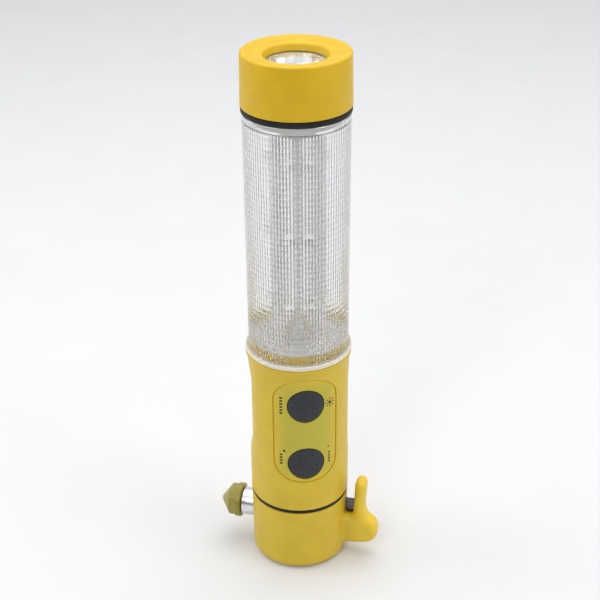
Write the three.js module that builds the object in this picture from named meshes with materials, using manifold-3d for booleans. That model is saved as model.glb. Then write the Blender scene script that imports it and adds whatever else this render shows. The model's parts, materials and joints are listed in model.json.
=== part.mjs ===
// LED safety flare: a hand lamp with a clear strobe tube, a torch head, a window hammer and a belt
// cutter. It stands on its foot. Millimetres, +Z up, origin at the centre of the foot. The belt
// cutter points along +X and the hammer along -X. The handle's front is turned from them.

import * as THREE from 'three';
import { mergeVertices } from 'three/addons/utils/BufferGeometryUtils.js';
import Module from 'manifold-3d';

const wasm = await Module();
wasm.setup();

// ---------------------------------------------------------------- driving dimensions

const ROUND = 36; // facets around the main shells
const SMALL_ROUND = 16; // facets around the small round pieces
const GAP = 0.3; // clearance between neighbouring pieces
const HANDLE_AZIMUTH = THREE.MathUtils.degToRad(-67.5); // where the handle's front points, from +X

// Base cap, the cup that the flare stands on
const FOOT_RADIUS = 21.1;
const FOOT_FILLET = 3.7;
const BASE_TOP_RADIUS = 21.5;
const BASE_TOP = 31.1;
const BASE_BORE = 19.4; // thread bore that takes the handle's spigot
const FLOOR_THICKNESS = 3;
const SPRING_POST_RADIUS = 8;
const SPRING_POST_TOP = 17.5;

// Window hammer, on -X
const HAMMER_HEIGHT = 18.1;
const HAMMER_RADIUS = 6.3;
const HAMMER_SEAT = 20; // distance from the axis to the counterbore in the base wall
const HAMMER_NUT_SEAT = 17.6;
const HAMMER_SHANK_RADIUS = 4;
const HAMMER_SHANK_END = 12.5;
const HAMMER_SHOULDER = 26.5; // where the polished collar ends and the covered point begins
const HAMMER_POINT_RADIUS = 4.4;
const HAMMER_TIP = 37.5;
const HAMMER_NUT = { radius: 7.2, thickness: 4 }; // hexagonal, radius to its corners
const COVER_REAR_RADIUS = 7.8;
const COVER_RIM_START = 29.2; // where the cover's body steps up to its rear rim
const COVER_CONE_RADIUS = 7.2;
const COVER_CONE_START = 32.3;
const COVER_APEX = 36.3;
const COVER_HOLE_RADIUS = 1.3;

// Belt cutter, on +X
const HOOK_THICKNESS = 9;
const HOOK_ROUNDING = 2.2;
const HOOK_ROOT = 20.1;
const HOOK_BOTTOM = { atRoot: 5, atLobe: 6 };
const SLOT_FLOOR = 20.8;
const SLOT_ROUNDING = 2;
const SLOT_END = 25.2; // foot of the finger's inner side
const FINGER_CENTRE = 28.4;
const FINGER_HALF_WIDTH = 2.5;
const FINGER_TOP = 39.5;
const WAIST = { outer: 30.3, height: 26.6 }; // narrowest part of the finger
const LOBE = { start: 28.5, reach: 36.3, height: 12.6, shoulder: 32.4, shoulderHeight: 19.4 };
const BLADE = { start: 19.9, end: 27.6, bottom: 13, top: 28.2, thickness: 0.6, grind: 1.3 };

// Seal between base cap and handle
const BASE_SEAL = { bottom: 31.3, top: 32.9, inner: 19.2, outer: 21.3 };

// Handle shell
const HANDLE_BOTTOM = 33.1;
const HANDLE_RADIUS = 21.55;
const HANDLE_BORE = 19.3;
const LOWER_SPIGOT = { bottom: 25.6, outer: 18.9, inner: 17.2 };
const FLANGE_RADIUS = 22.5;
const FLANGE_TOP = 104.4;
const DECK_THICKNESS = 2.2;
const WIRE_HOLE = 5;
const UPPER_SPIGOT = { top: 108.5, outer: 18.7, inner: 16.9 };
const SCOOP_DEPTH = 1.5; // finger scoops at both rear sides
const SCOOP_AZIMUTH = THREE.MathUtils.degToRad(110);
const SCOOP_HALF_WIDTH = THREE.MathUtils.degToRad(48);
const SCOOP_HEIGHTS = { start: 52, deepFrom: 63, deepTo: 89, end: 99 };
const GRIP_ROWS = [52, 56, 60, 64, 76, 88, 92, 96]; // rows of points that carry the scoops

// Switch panel, on the handle's front
const PANEL = { bottom: 48.2, top: 100, halfWidth: 13.45, corner: 10.8, floor: 20.6, face: 21.2 };
const FRONT_CUT = { from: 12, to: 24 }; // span along X that takes in only the front wall
const BUTTON_HEIGHTS = { light: 86.7, strobe: 57.7 };
const BUTTON_RADIUS = 7.7;
const BUTTON_HOLE_RADIUS = 8;
const BUTTON_FACE = 21.9;
const BUTTON_FLANGE = { radius: 8.6, inner: 16, outer: 16.9 };
const BUTTON_HOLLOW = { radius: 6.2, stemRadius: 1.7, roof: 19.8 };
const SWITCH_BOARD = { back: 13.4, front: 15, halfWidth: 8.2, bottom: 47, top: 99 };
const SWITCH_FRONT = 17.8;
const BOARD_SCREWS = { side: 7, height: 72.2, headRadius: 2, shankRadius: 1, end: 17.8 };
const SWITCH_CASE_WIDTH = 6;
const PLUNGER_RADIUS = 1.7;
const CHIP = { width: 5, height: 4, thickness: 1.2 };

// Batteries: three AAA cells in a cartridge
const CELL = { radius: 5.2, length: 43.7, nubRadius: 1.9, nubLength: 0.8, pitch: 6.4 };
const CARTRIDGE = { radius: 11.9, waist: 10.8, bottom: 24.6, top: 76.4, endThickness: 2 };
const CELL_SPRING_HEIGHT = 2.3;
const SLEEVE = { inner: 12.2, outer: 13, bottom: 36, top: 81, flange: 16.6, thickness: 1.2, roof: 1 };
const CONTACT_BOARD_THICKNESS = 1.2;
const CONTACT_RING = { inner: 8, outer: 10, thickness: 0.4 };
const WIRE_RADIUS = 0.6;

// Clear strobe tube
const TUBE = { bottom: 104.7, flangeTop: 106.6, lowRadius: 21.15, highRadius: 21.4, top: 209.4, wall: 2 };
const NECK = { outer: 19.3, inner: 17.4, top: 224.5 };
const COLUMN = { side: 14, hollowSide: 8, foot: 104.7, footTop: 106.2, top: 205.9 };
const STROBE_BOARD = { width: 9.6, thickness: 1, bottom: 108.5, top: 203.5 };
const STROBE_LEDS_PER_BOARD = 3;
const STROBE_LED = { baseRadius: 2.9, baseThickness: 0.9, domeRadius: 2.5 };

// Torch head
const HEAD_SEAL = { bottom: 209.5, top: 212.1, inner: 19.5, outer: 21.9 };
const HEAD = { bottom: 212.3, lowRadius: 22, highRadius: 21.6, top: 233.3, fillet: 1.5, bore: 19.7 };
const HEAD_BORE_TOP = 225.5;
const LENS_POCKET = { radius: 15.1, top: 229.6 };
const MOUTH = {
  dishRadius: 17.2, dishTop: 232.3,
  lipRadius: 12.4, lipTop: 232, lipFillet: 0.8, throat: 11.4,
};
const REFLECTOR = { rim: 11.3, throat: 4, bottom: 213.2, top: 226.9, wall: 0.8, flange: 14.8 };
const LENS = { radius: 14.8, bottom: 227.9, top: 229.3 };
const LED_HOLDER = { bore: 3.2, step: 208.3, stepRadius: 11.5 };
const LED_SEAT = 210.3;
const LED_BOARD = { radius: 10, thickness: 1.6 };
const TORCH_LED = { baseRadius: 3.2, baseThickness: 0.7, domeRadius: 2.4 };

// ---------------------------------------------------------------- solids

/** Welds a geometry into one closed body whose faces point outwards. */
function weld(geometry) {
  const bare = geometry.clone();
  bare.deleteAttribute('normal');
  bare.deleteAttribute('uv');
  const welded = mergeVertices(bare, 1e-4);
  const index = Array.from(welded.index.array);
  const kept = [];
  for (let i = 0; i < index.length; i += 3) {
    const [a, b, c] = index.slice(i, i + 3);
    if (a !== b && b !== c && c !== a) kept.push(a, b, c);
  }
  if (signedVolume(welded.attributes.position, kept) < 0) kept.reverse();
  welded.setIndex(kept);
  return welded;
}

function signedVolume(position, index) {
  const [a, b, c] = [new THREE.Vector3(), new THREE.Vector3(), new THREE.Vector3()];
  let volume = 0;
  for (let i = 0; i < index.length; i += 3) {
    a.fromBufferAttribute(position, index[i]);
    b.fromBufferAttribute(position, index[i + 1]);
    c.fromBufferAttribute(position, index[i + 2]);
    volume += a.dot(b.cross(c)) / 6;
  }
  return volume;
}

function toManifold(geometry) {
  const welded = weld(geometry);
  const vertProperties = new Float32Array(welded.attributes.position.array);
  const triVerts = new Uint32Array(welded.index.array);
  return new wasm.Manifold(new wasm.Mesh({ numProp: 3, vertProperties, triVerts }));
}

function toGeometry(manifold) {
  const mesh = manifold.getMesh();
  const geometry = new THREE.BufferGeometry();
  geometry.setAttribute('position', new THREE.BufferAttribute(mesh.vertProperties, 3));
  geometry.setIndex(Array.from(mesh.triVerts));
  return geometry;
}

function join(first, ...others) {
  return toGeometry(others.reduce((sum, other) => sum.add(toManifold(other)), toManifold(first)));
}

function cut(first, ...tools) {
  return toGeometry(tools.reduce((rest, tool) => rest.subtract(toManifold(tool)), toManifold(first)));
}

function overlapOf(first, second) {
  return toGeometry(toManifold(first).intersect(toManifold(second)));
}

// ---------------------------------------------------------------- shapes

/** Closed profile of [radius, height] points, turned about Z. */
function turned(profile, facets = ROUND) {
  const points = profile.map(([radius, height]) => new THREE.Vector2(radius, height));
  const [first, last] = [points[0], points[points.length - 1]];
  if (first.x > 0 || last.x > 0) points.push(first.clone());
  return weld(new THREE.LatheGeometry(points, facets).rotateX(Math.PI / 2));
}

/** Closed profile of [radius, distance] points, turned about X. */
function turnedAboutX(profile, facets = SMALL_ROUND) {
  const zToX = new THREE.Matrix4().makeRotationY(Math.PI / 2);
  return turned(profile, facets).applyMatrix4(zToX);
}

/** Solid round bar between two distances along X. */
function barAlongX(radius, from, to, facets = SMALL_ROUND) {
  return turnedAboutX([[0, from], [radius, from], [radius, to], [0, to]], facets);
}

/** Quarter-round points about a centre, from one angle to another in degrees. */
function arc(centreX, centreY, radius, fromDegrees, toDegrees, steps) {
  return Array.from({ length: steps + 1 }, (_, step) => {
    const angle = THREE.MathUtils.degToRad(fromDegrees + ((toDegrees - fromDegrees) * step) / steps);
    return [centreX + radius * Math.cos(angle), centreY + radius * Math.sin(angle)];
  });
}

/** Ring with a rounded section, such as an O-ring. */
function ring({ bottom, top, inner, outer }) {
  const bulge = (top - bottom) / 4;
  return turned([
    [inner, bottom], [outer - bulge, bottom], [outer, bottom + bulge],
    [outer, top - bulge], [outer - bulge, top], [inner, top],
  ], 30);
}

/** Outline in the (Y, Z) plane pushed along X. */
function extrudedAlongX(shape, from, to) {
  const toX = new THREE.Matrix4().makeBasis(
    new THREE.Vector3(0, 1, 0), new THREE.Vector3(0, 0, 1), new THREE.Vector3(1, 0, 0));
  const options = { depth: to - from, bevelEnabled: false, curveSegments: 6 };
  return new THREE.ExtrudeGeometry(shape, options).applyMatrix4(toX).translate(from, 0, 0);
}

function roundedRectangle(halfWidth, bottom, top, corner) {
  const shape = new THREE.Shape();
  shape.moveTo(-halfWidth + corner, bottom);
  shape.lineTo(halfWidth - corner, bottom);
  shape.absarc(halfWidth - corner, bottom + corner, corner, -Math.PI / 2, 0, false);
  shape.absarc(halfWidth - corner, top - corner, corner, 0, Math.PI / 2, false);
  shape.absarc(-halfWidth + corner, top - corner, corner, Math.PI / 2, Math.PI, false);
  shape.absarc(-halfWidth + corner, bottom + corner, corner, Math.PI, Math.PI * 1.5, false);
  return shape;
}

/** Round wire along a smooth path through the given points. */
function wireThrough(points, radius, steps, sides = 5) {
  const path = new THREE.CatmullRomCurve3(points.map((point) => new THREE.Vector3(...point)));
  return wireAlong(path, radius, steps, sides);
}

function wireAlong(path, radius, steps, sides) {
  const section = new THREE.Shape();
  for (let side = 0; side < sides; side += 1) {
    const angle = (2 * Math.PI * side) / sides;
    const point = [radius * Math.cos(angle), radius * Math.sin(angle)];
    if (side === 0) section.moveTo(...point);
    else section.lineTo(...point);
  }
  return new THREE.ExtrudeGeometry(section, { steps, extrudePath: path, bevelEnabled: false });
}

/** Coil spring standing on Z, wide at the bottom and narrow at the top. */
function coilSpring({ bottom, top, wideRadius, narrowRadius, wire, turns, stepsPerTurn = 10 }) {
  class Coil extends THREE.Curve {
    getPoint(t, target = new THREE.Vector3()) {
      const angle = 2 * Math.PI * turns * t;
      const radius = THREE.MathUtils.lerp(wideRadius, narrowRadius, t) - wire;
      const height = THREE.MathUtils.lerp(bottom + wire, top - wire, t);
      return target.set(radius * Math.cos(angle), radius * Math.sin(angle), height);
    }
  }
  return wireAlong(new Coil(), wire, Math.round(turns * stepsPerTurn), 4);
}

function smoothStep(from, to, value) {
  return THREE.MathUtils.smoothstep(value, from, to);
}

// ---------------------------------------------------------------- materials

function material(colour, roughness, metalness = 0, opacity = 1) {
  return new THREE.MeshStandardMaterial({
    color: colour, roughness, metalness, opacity, transparent: opacity < 1,
  });
}

const LOOKS = {
  yellow: () => material('#e0b52c', 0.42),
  panelYellow: () => material('#b9b04a', 0.5),
  buttonRubber: () => material('#43464c', 0.75),
  sealRubber: () => material('#1b1b1f', 0.6),
  softCover: () => material('#9a9045', 0.35, 0, 0.9),
  clear: () => material('#eef1f2', 0.08, 0, 0.35),
  chrome: () => material('#d9dbde', 0.08, 1),
  steel: () => material('#c4c6c9', 0.25, 1),
  bladeSteel: () => material('#8d9094', 0.35, 1),
  brass: () => material('#c9a24e', 0.3, 1),
  whitePlastic: () => material('#ecece8', 0.5),
  blackPlastic: () => material('#26272b', 0.5),
  circuitBoard: () => material('#1f6b3c', 0.45),
  whiteBoard: () => material('#f0f0ec', 0.4),
  ledClear: () => material('#f6f3da', 0.1, 0, 0.6),
  cellWrap: () => material('#2d4f8f', 0.35, 0.2),
  redWire: () => material('#b3261e', 0.5),
  blackWire: () => material('#1d1d1d', 0.5),
  whiteWire: () => material('#e6e6e6', 0.5),
};

function piece(name, geometry, look) {
  const mesh = new THREE.Mesh(weld(geometry), LOOKS[look]());
  mesh.name = name;
  return mesh;
}

// ---------------------------------------------------------------- base: cup, hammer, cutter

function baseCupGeometry() {
  return turned([
    [0, 0],
    ...arc(FOOT_RADIUS - FOOT_FILLET, FOOT_FILLET, FOOT_FILLET, -90, 0, 3),
    [BASE_TOP_RADIUS, BASE_TOP - 0.3],
    [BASE_TOP_RADIUS - 0.3, BASE_TOP],
    [BASE_BORE, BASE_TOP],
    [BASE_BORE, FLOOR_THICKNESS],
    [SPRING_POST_RADIUS, FLOOR_THICKNESS],
    [SPRING_POST_RADIUS, SPRING_POST_TOP],
    [SPRING_POST_RADIUS - 2, SPRING_POST_TOP],
    [SPRING_POST_RADIUS - 2, FLOOR_THICKNESS],
    [0, FLOOR_THICKNESS],
  ]);
}

/** The cutter's finger and lobe, moulded in one with the base and rounded on both faces. */
function hookGeometry() {
  const shape = new THREE.Shape();
  const fingerOuter = FINGER_CENTRE + FINGER_HALF_WIDTH;
  const fingerInner = FINGER_CENTRE - FINGER_HALF_WIDTH;
  const fingerArcHeight = FINGER_TOP - FINGER_HALF_WIDTH;
  shape.moveTo(HOOK_ROOT, HOOK_BOTTOM.atRoot);
  shape.lineTo(LOBE.start, HOOK_BOTTOM.atLobe);
  shape.bezierCurveTo(LOBE.start + 5, HOOK_BOTTOM.atLobe + 0.6, LOBE.reach, LOBE.height - 4,
    LOBE.reach, LOBE.height);
  shape.bezierCurveTo(LOBE.reach, LOBE.height + 3.6, LOBE.shoulder + 2.2, LOBE.shoulderHeight - 1.4,
    LOBE.shoulder, LOBE.shoulderHeight);
  shape.bezierCurveTo(LOBE.shoulder - 1.5, LOBE.shoulderHeight + 1.1, WAIST.outer, WAIST.height - 3.2,
    WAIST.outer, WAIST.height);
  shape.bezierCurveTo(WAIST.outer, WAIST.height + 3.2, fingerOuter, fingerArcHeight - 4,
    fingerOuter, fingerArcHeight);
  shape.absarc(FINGER_CENTRE, fingerArcHeight, FINGER_HALF_WIDTH, 0, Math.PI, false);
  shape.lineTo(fingerInner, fingerArcHeight - 1);
  shape.lineTo(SLOT_END, SLOT_FLOOR + SLOT_ROUNDING);
  shape.absarc(SLOT_END - SLOT_ROUNDING, SLOT_FLOOR + SLOT_ROUNDING, SLOT_ROUNDING,
    0, -Math.PI / 2, true);
  shape.lineTo(HOOK_ROOT, SLOT_FLOOR);
  const hook = new THREE.ExtrudeGeometry(shape, {
    depth: HOOK_THICKNESS - 2 * HOOK_ROUNDING, curveSegments: 5,
    bevelThickness: HOOK_ROUNDING, bevelSize: HOOK_ROUNDING, bevelOffset: -HOOK_ROUNDING,
    bevelSegments: 2,
  });
  hook.rotateX(Math.PI / 2);
  return hook.translate(0, HOOK_THICKNESS / 2 - HOOK_ROUNDING, 0);
}

function bladeGeometry(clearance = 0) {
  const half = BLADE.thickness / 2 + clearance;
  const bottom = BLADE.bottom - clearance;
  const top = BLADE.top + clearance;
  const section = new THREE.Shape();
  section.moveTo(-half, bottom);
  section.lineTo(half, bottom);
  section.lineTo(half, top - BLADE.grind);
  section.lineTo(0.05, top);
  section.lineTo(-0.05, top);
  section.lineTo(-half, top - BLADE.grind);
  return extrudedAlongX(section, BLADE.start - clearance, BLADE.end + clearance);
}

function baseCapGeometry() {
  const nutBoss = barAlongX(HAMMER_RADIUS + 0.5, -HAMMER_SEAT, -HAMMER_NUT_SEAT)
    .translate(0, 0, HAMMER_HEIGHT);
  const counterbore = barAlongX(HAMMER_RADIUS + GAP / 2, -FOOT_RADIUS - 2, -HAMMER_SEAT)
    .translate(0, 0, HAMMER_HEIGHT);
  const shankHole = barAlongX(HAMMER_SHANK_RADIUS + GAP, -FOOT_RADIUS, -HAMMER_NUT_SEAT + 1)
    .translate(0, 0, HAMMER_HEIGHT);
  const solid = join(baseCupGeometry(), hookGeometry(), nutBoss);
  return cut(solid, counterbore, shankHole, bladeGeometry(GAP));
}

/** Steel hammer: shank through the wall, polished collar and the point under the cover. */
function hammerGeometry() {
  return turnedAboutX([
    [0, -HAMMER_TIP],
    [HAMMER_POINT_RADIUS, -COVER_CONE_START],
    [HAMMER_POINT_RADIUS, -HAMMER_SHOULDER],
    [HAMMER_RADIUS - 0.3, -HAMMER_SHOULDER],
    [HAMMER_RADIUS, -HAMMER_SHOULDER + 0.3],
    [HAMMER_RADIUS, -HAMMER_SEAT - GAP / 2],
    [HAMMER_SHANK_RADIUS, -HAMMER_SEAT - GAP / 2],
    [HAMMER_SHANK_RADIUS, -HAMMER_SHANK_END],
    [0, -HAMMER_SHANK_END],
  ]).translate(0, 0, HAMMER_HEIGHT);
}

function hammerNutGeometry() {
  const { radius, thickness } = HAMMER_NUT;
  const nut = new THREE.CylinderGeometry(radius, radius, thickness, 6).rotateZ(Math.PI / 2);
  nut.translate(-HAMMER_NUT_SEAT + GAP + thickness / 2, 0, HAMMER_HEIGHT);
  const bore = barAlongX(HAMMER_SHANK_RADIUS + GAP, -HAMMER_NUT_SEAT - 1,
    -HAMMER_NUT_SEAT + GAP + thickness + 1);
  return cut(nut, bore.translate(0, 0, HAMMER_HEIGHT));
}

/** Soft cover pulled over the hammer's point, with a small hole that the tip shows through. */
function hammerCoverGeometry() {
  const rear = -HAMMER_SHOULDER - GAP;
  return turnedAboutX([
    [COVER_HOLE_RADIUS, -COVER_APEX],
    [COVER_HOLE_RADIUS + 0.4, -COVER_APEX + 0.1],
    [COVER_CONE_RADIUS - 0.5, -COVER_CONE_START - 0.3],
    [COVER_CONE_RADIUS, -COVER_CONE_START + 0.3],
    [COVER_CONE_RADIUS, -COVER_RIM_START],
    [COVER_REAR_RADIUS, -COVER_RIM_START + 0.5],
    [COVER_REAR_RADIUS, rear - 0.3],
    [COVER_REAR_RADIUS - 0.3, rear],
    [HAMMER_POINT_RADIUS + GAP, rear],
    [HAMMER_POINT_RADIUS + GAP, -COVER_CONE_START],
  ]).translate(0, 0, HAMMER_HEIGHT);
}

function buildBase() {
  const base = new THREE.Group();
  base.add(
    piece('base_cap', baseCapGeometry(), 'yellow'),
    piece('base_seal', ring(BASE_SEAL), 'sealRubber'),
    piece('cutter_blade', bladeGeometry(), 'bladeSteel'),
    piece('hammer_shaft', hammerGeometry(), 'steel'),
    piece('hammer_nut', hammerNutGeometry(), 'steel'),
    piece('hammer_tip_cover', hammerCoverGeometry(), 'softCover'),
    piece('battery_spring', coilSpring({
      bottom: SPRING_POST_TOP + 0.1, top: CARTRIDGE.bottom - 0.1,
      wideRadius: SPRING_POST_RADIUS - 0.2, narrowRadius: 5.4, wire: 0.5, turns: 3,
    }), 'steel'),
  );
  return base;
}

// ---------------------------------------------------------------- handle shell and panel

/** How far the finger scoops dip below the round handle at an azimuth and a height. */
function scoopDepth(azimuth, height) {
  const away = Math.abs(Math.abs(azimuth) - SCOOP_AZIMUTH) / SCOOP_HALF_WIDTH;
  if (away >= 1) return 0;
  const across = Math.cos((away * Math.PI) / 2) ** 2;
  const { start, deepFrom, deepTo, end } = SCOOP_HEIGHTS;
  return SCOOP_DEPTH * across * smoothStep(start, deepFrom, height) * (1 - smoothStep(deepTo, end, height));
}

function handleBodyGeometry() {
  const deckBottom = FLANGE_TOP - DECK_THICKNESS;
  const body = turned([
    [LOWER_SPIGOT.inner, LOWER_SPIGOT.bottom],
    [LOWER_SPIGOT.outer, LOWER_SPIGOT.bottom],
    [LOWER_SPIGOT.outer, HANDLE_BOTTOM],
    [HANDLE_RADIUS - 0.4, HANDLE_BOTTOM],
    [HANDLE_RADIUS, HANDLE_BOTTOM + 0.4],
    ...GRIP_ROWS.map((height) => [HANDLE_RADIUS, height]),
    [HANDLE_RADIUS + 0.1, FLANGE_TOP - 4.4],
    [FLANGE_RADIUS - 0.4, FLANGE_TOP - 1.8],
    [FLANGE_RADIUS, FLANGE_TOP - 1],
    [FLANGE_RADIUS, FLANGE_TOP],
    [UPPER_SPIGOT.outer, FLANGE_TOP],
    [UPPER_SPIGOT.outer, UPPER_SPIGOT.top],
    [UPPER_SPIGOT.inner, UPPER_SPIGOT.top],
    [UPPER_SPIGOT.inner, FLANGE_TOP],
    [WIRE_HOLE, FLANGE_TOP],
    [WIRE_HOLE, deckBottom],
    [HANDLE_BORE, deckBottom],
    [HANDLE_BORE, HANDLE_BOTTOM + 2.4],
    [LOWER_SPIGOT.inner, HANDLE_BOTTOM + 1.4],
  ]);
  const position = body.attributes.position;
  const point = new THREE.Vector3();
  for (let i = 0; i < position.count; i += 1) {
    point.fromBufferAttribute(position, i);
    const radius = Math.hypot(point.x, point.y);
    if (radius < HANDLE_RADIUS - 0.05) continue;
    const depth = scoopDepth(Math.atan2(point.y, point.x), point.z);
    position.setXYZ(i, point.x * (1 - depth / radius), point.y * (1 - depth / radius), point.z);
  }
  return body;
}

function panelOutline(clearance) {
  return roundedRectangle(PANEL.halfWidth + clearance, PANEL.bottom - clearance,
    PANEL.top + clearance, PANEL.corner);
}

function buttonHoles() {
  return Object.values(BUTTON_HEIGHTS).map((height) =>
    barAlongX(BUTTON_HOLE_RADIUS, SWITCH_FRONT - 3, BUTTON_FACE + 2, 28).translate(0, 0, height));
}

function handleShellGeometry() {
  const bosses = [-1, 1].map((side) =>
    barAlongX(2.4, SWITCH_BOARD.front + GAP, HANDLE_BORE - 0.7, 12)
      .translate(0, side * BOARD_SCREWS.side, BOARD_SCREWS.height));
  const pilotHoles = [-1, 1].map((side) =>
    barAlongX(1.15, SWITCH_BOARD.front - 1, HANDLE_BORE - 1.6, 12)
      .translate(0, side * BOARD_SCREWS.side, BOARD_SCREWS.height));
  const [low, high] = [PANEL.bottom - 5, PANEL.top + 5];
  const recess = cut(
    extrudedAlongX(panelOutline(0.25), FRONT_CUT.from, FRONT_CUT.to),
    turned([[0, low], [PANEL.floor, low], [PANEL.floor, high], [0, high]]),
  );
  return cut(join(handleBodyGeometry(), ...bosses), recess, ...buttonHoles(), ...pilotHoles);
}

function switchOverlayGeometry() {
  const [low, high] = [PANEL.bottom - 5, PANEL.top + 5];
  const back = PANEL.floor + GAP / 2;
  const sheet = turned([[back, low], [PANEL.face, low], [PANEL.face, high], [back, high]]);
  const front = overlapOf(sheet, extrudedAlongX(panelOutline(0), FRONT_CUT.from, FRONT_CUT.to));
  return cut(front, ...buttonHoles());
}

/** Rubber push button: hollow plug with a retaining flange and a stem for the switch. */
function buttonGeometry(height) {
  const plug = turnedAboutX([
    [0, SWITCH_FRONT + 1.2],
    [BUTTON_HOLLOW.stemRadius, SWITCH_FRONT + 1.2],
    [BUTTON_HOLLOW.stemRadius, BUTTON_HOLLOW.roof],
    [BUTTON_HOLLOW.radius, BUTTON_HOLLOW.roof],
    [BUTTON_HOLLOW.radius, BUTTON_FLANGE.inner],
    [BUTTON_FLANGE.radius, BUTTON_FLANGE.inner],
    [BUTTON_FLANGE.radius, BUTTON_FLANGE.outer],
    [BUTTON_RADIUS, BUTTON_FLANGE.outer],
    [BUTTON_RADIUS, BUTTON_FACE + 1],
    [0, BUTTON_FACE + 1],
  ], 28);
  const curvedFace = turned([
    [0, -10], [BUTTON_FACE - 0.4, -10], [BUTTON_FACE, 0], [BUTTON_FACE - 0.4, 10], [0, 10],
  ], 2 * ROUND);
  return overlapOf(plug, curvedFace).translate(0, 0, height);
}

function switchCaseGeometry(height) {
  const depth = SWITCH_FRONT - SWITCH_BOARD.front - 0.1;
  const centre = SWITCH_FRONT - depth / 2;
  const body = new THREE.BoxGeometry(depth, SWITCH_CASE_WIDTH, SWITCH_CASE_WIDTH);
  body.translate(centre, 0, height);
  const plungerHole = barAlongX(PLUNGER_RADIUS + GAP, SWITCH_BOARD.front + 0.5, SWITCH_FRONT + 1, 16);
  return cut(body, plungerHole.translate(0, 0, height));
}

function switchPlungerGeometry(height) {
  return barAlongX(PLUNGER_RADIUS, SWITCH_BOARD.front + 1.4, SWITCH_FRONT + 1.1, 16)
    .translate(0, 0, height);
}

function switchBoardGeometry() {
  const { back, front, halfWidth, bottom, top } = SWITCH_BOARD;
  const board = extrudedAlongX(roundedRectangle(halfWidth, bottom, top, 1.5), back, front);
  const holes = [-1, 1].map((side) => barAlongX(1.5, back - 1, front + 1, 12)
    .translate(0, side * BOARD_SCREWS.side, BOARD_SCREWS.height));
  return cut(board, ...holes);
}

function boardScrewGeometry(side) {
  const { headRadius, shankRadius, end } = BOARD_SCREWS;
  const headSeat = SWITCH_BOARD.back - 0.1;
  return turnedAboutX([
    [0, headSeat - 1.3],
    [headRadius - 0.2, headSeat - 1.3],
    [headRadius, headSeat - 1],
    [headRadius, headSeat],
    [shankRadius, headSeat],
    [shankRadius, end - 0.4],
    [0, end],
  ], 12).translate(0, side * BOARD_SCREWS.side, BOARD_SCREWS.height);
}

function controllerChipGeometry() {
  const { width, height, thickness } = CHIP;
  const centre = SWITCH_BOARD.front + 0.1 + thickness / 2;
  return new THREE.BoxGeometry(thickness, width, height).translate(centre, 0, BOARD_SCREWS.height);
}

// ---------------------------------------------------------------- batteries

function cellCentre(number) {
  const angle = (2 * Math.PI * number) / 3 + Math.PI / 3;
  return [CELL.pitch * Math.cos(angle), CELL.pitch * Math.sin(angle)];
}

const CELL_BOTTOM = CARTRIDGE.bottom + CARTRIDGE.endThickness + CELL_SPRING_HEIGHT;

/** Core of the cartridge: a round bar with three open pockets for the cells. */
function cartridgeGeometry() {
  const { radius, waist, bottom, top, endThickness } = CARTRIDGE;
  const core = turned([
    [0, bottom], [radius, bottom], [radius, bottom + endThickness], [waist, bottom + endThickness],
    [waist, top - endThickness], [radius, top - endThickness], [radius, top], [0, top],
  ], 30);
  const pockets = [0, 1, 2].map((number) => {
    const [x, y] = cellCentre(number);
    const pocketRadius = CELL.radius + 0.15;
    return turned([
      [0, bottom + endThickness], [pocketRadius, bottom + endThickness],
      [pocketRadius, top - endThickness], [0, top - endThickness],
    ], SMALL_ROUND).translate(x, y, 0);
  });
  return cut(core, ...pockets);
}

function cellGeometry(number) {
  const [x, y] = cellCentre(number);
  const bodyTop = CELL_BOTTOM + CELL.length;
  return turned([
    [0, CELL_BOTTOM],
    [CELL.radius - 0.4, CELL_BOTTOM],
    [CELL.radius, CELL_BOTTOM + 0.4],
    [CELL.radius, bodyTop - 0.4],
    [CELL.radius - 0.4, bodyTop],
    [CELL.nubRadius, bodyTop],
    [CELL.nubRadius, bodyTop + CELL.nubLength],
    [0, bodyTop + CELL.nubLength],
  ], SMALL_ROUND).translate(x, y, 0);
}

function cellSpringGeometry(number) {
  const [x, y] = cellCentre(number);
  return coilSpring({
    bottom: CARTRIDGE.bottom + CARTRIDGE.endThickness + 0.1, top: CELL_BOTTOM - 0.1,
    wideRadius: 3.6, narrowRadius: 2, wire: 0.3, turns: 2, stepsPerTurn: 8,
  }).translate(x, y, 0);
}

/** Liner that guides the cartridge, closed at the top by the contact board's seat. */
function batterySleeveGeometry() {
  const { inner, outer, bottom, top, flange, thickness, roof } = SLEEVE;
  const wireOpening = 8;
  return turned([
    [inner, bottom], [flange, bottom], [flange, bottom + thickness], [outer, bottom + thickness],
    [outer, top], [wireOpening, top], [wireOpening, top - roof], [inner, top - roof],
  ], 30);
}

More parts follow.
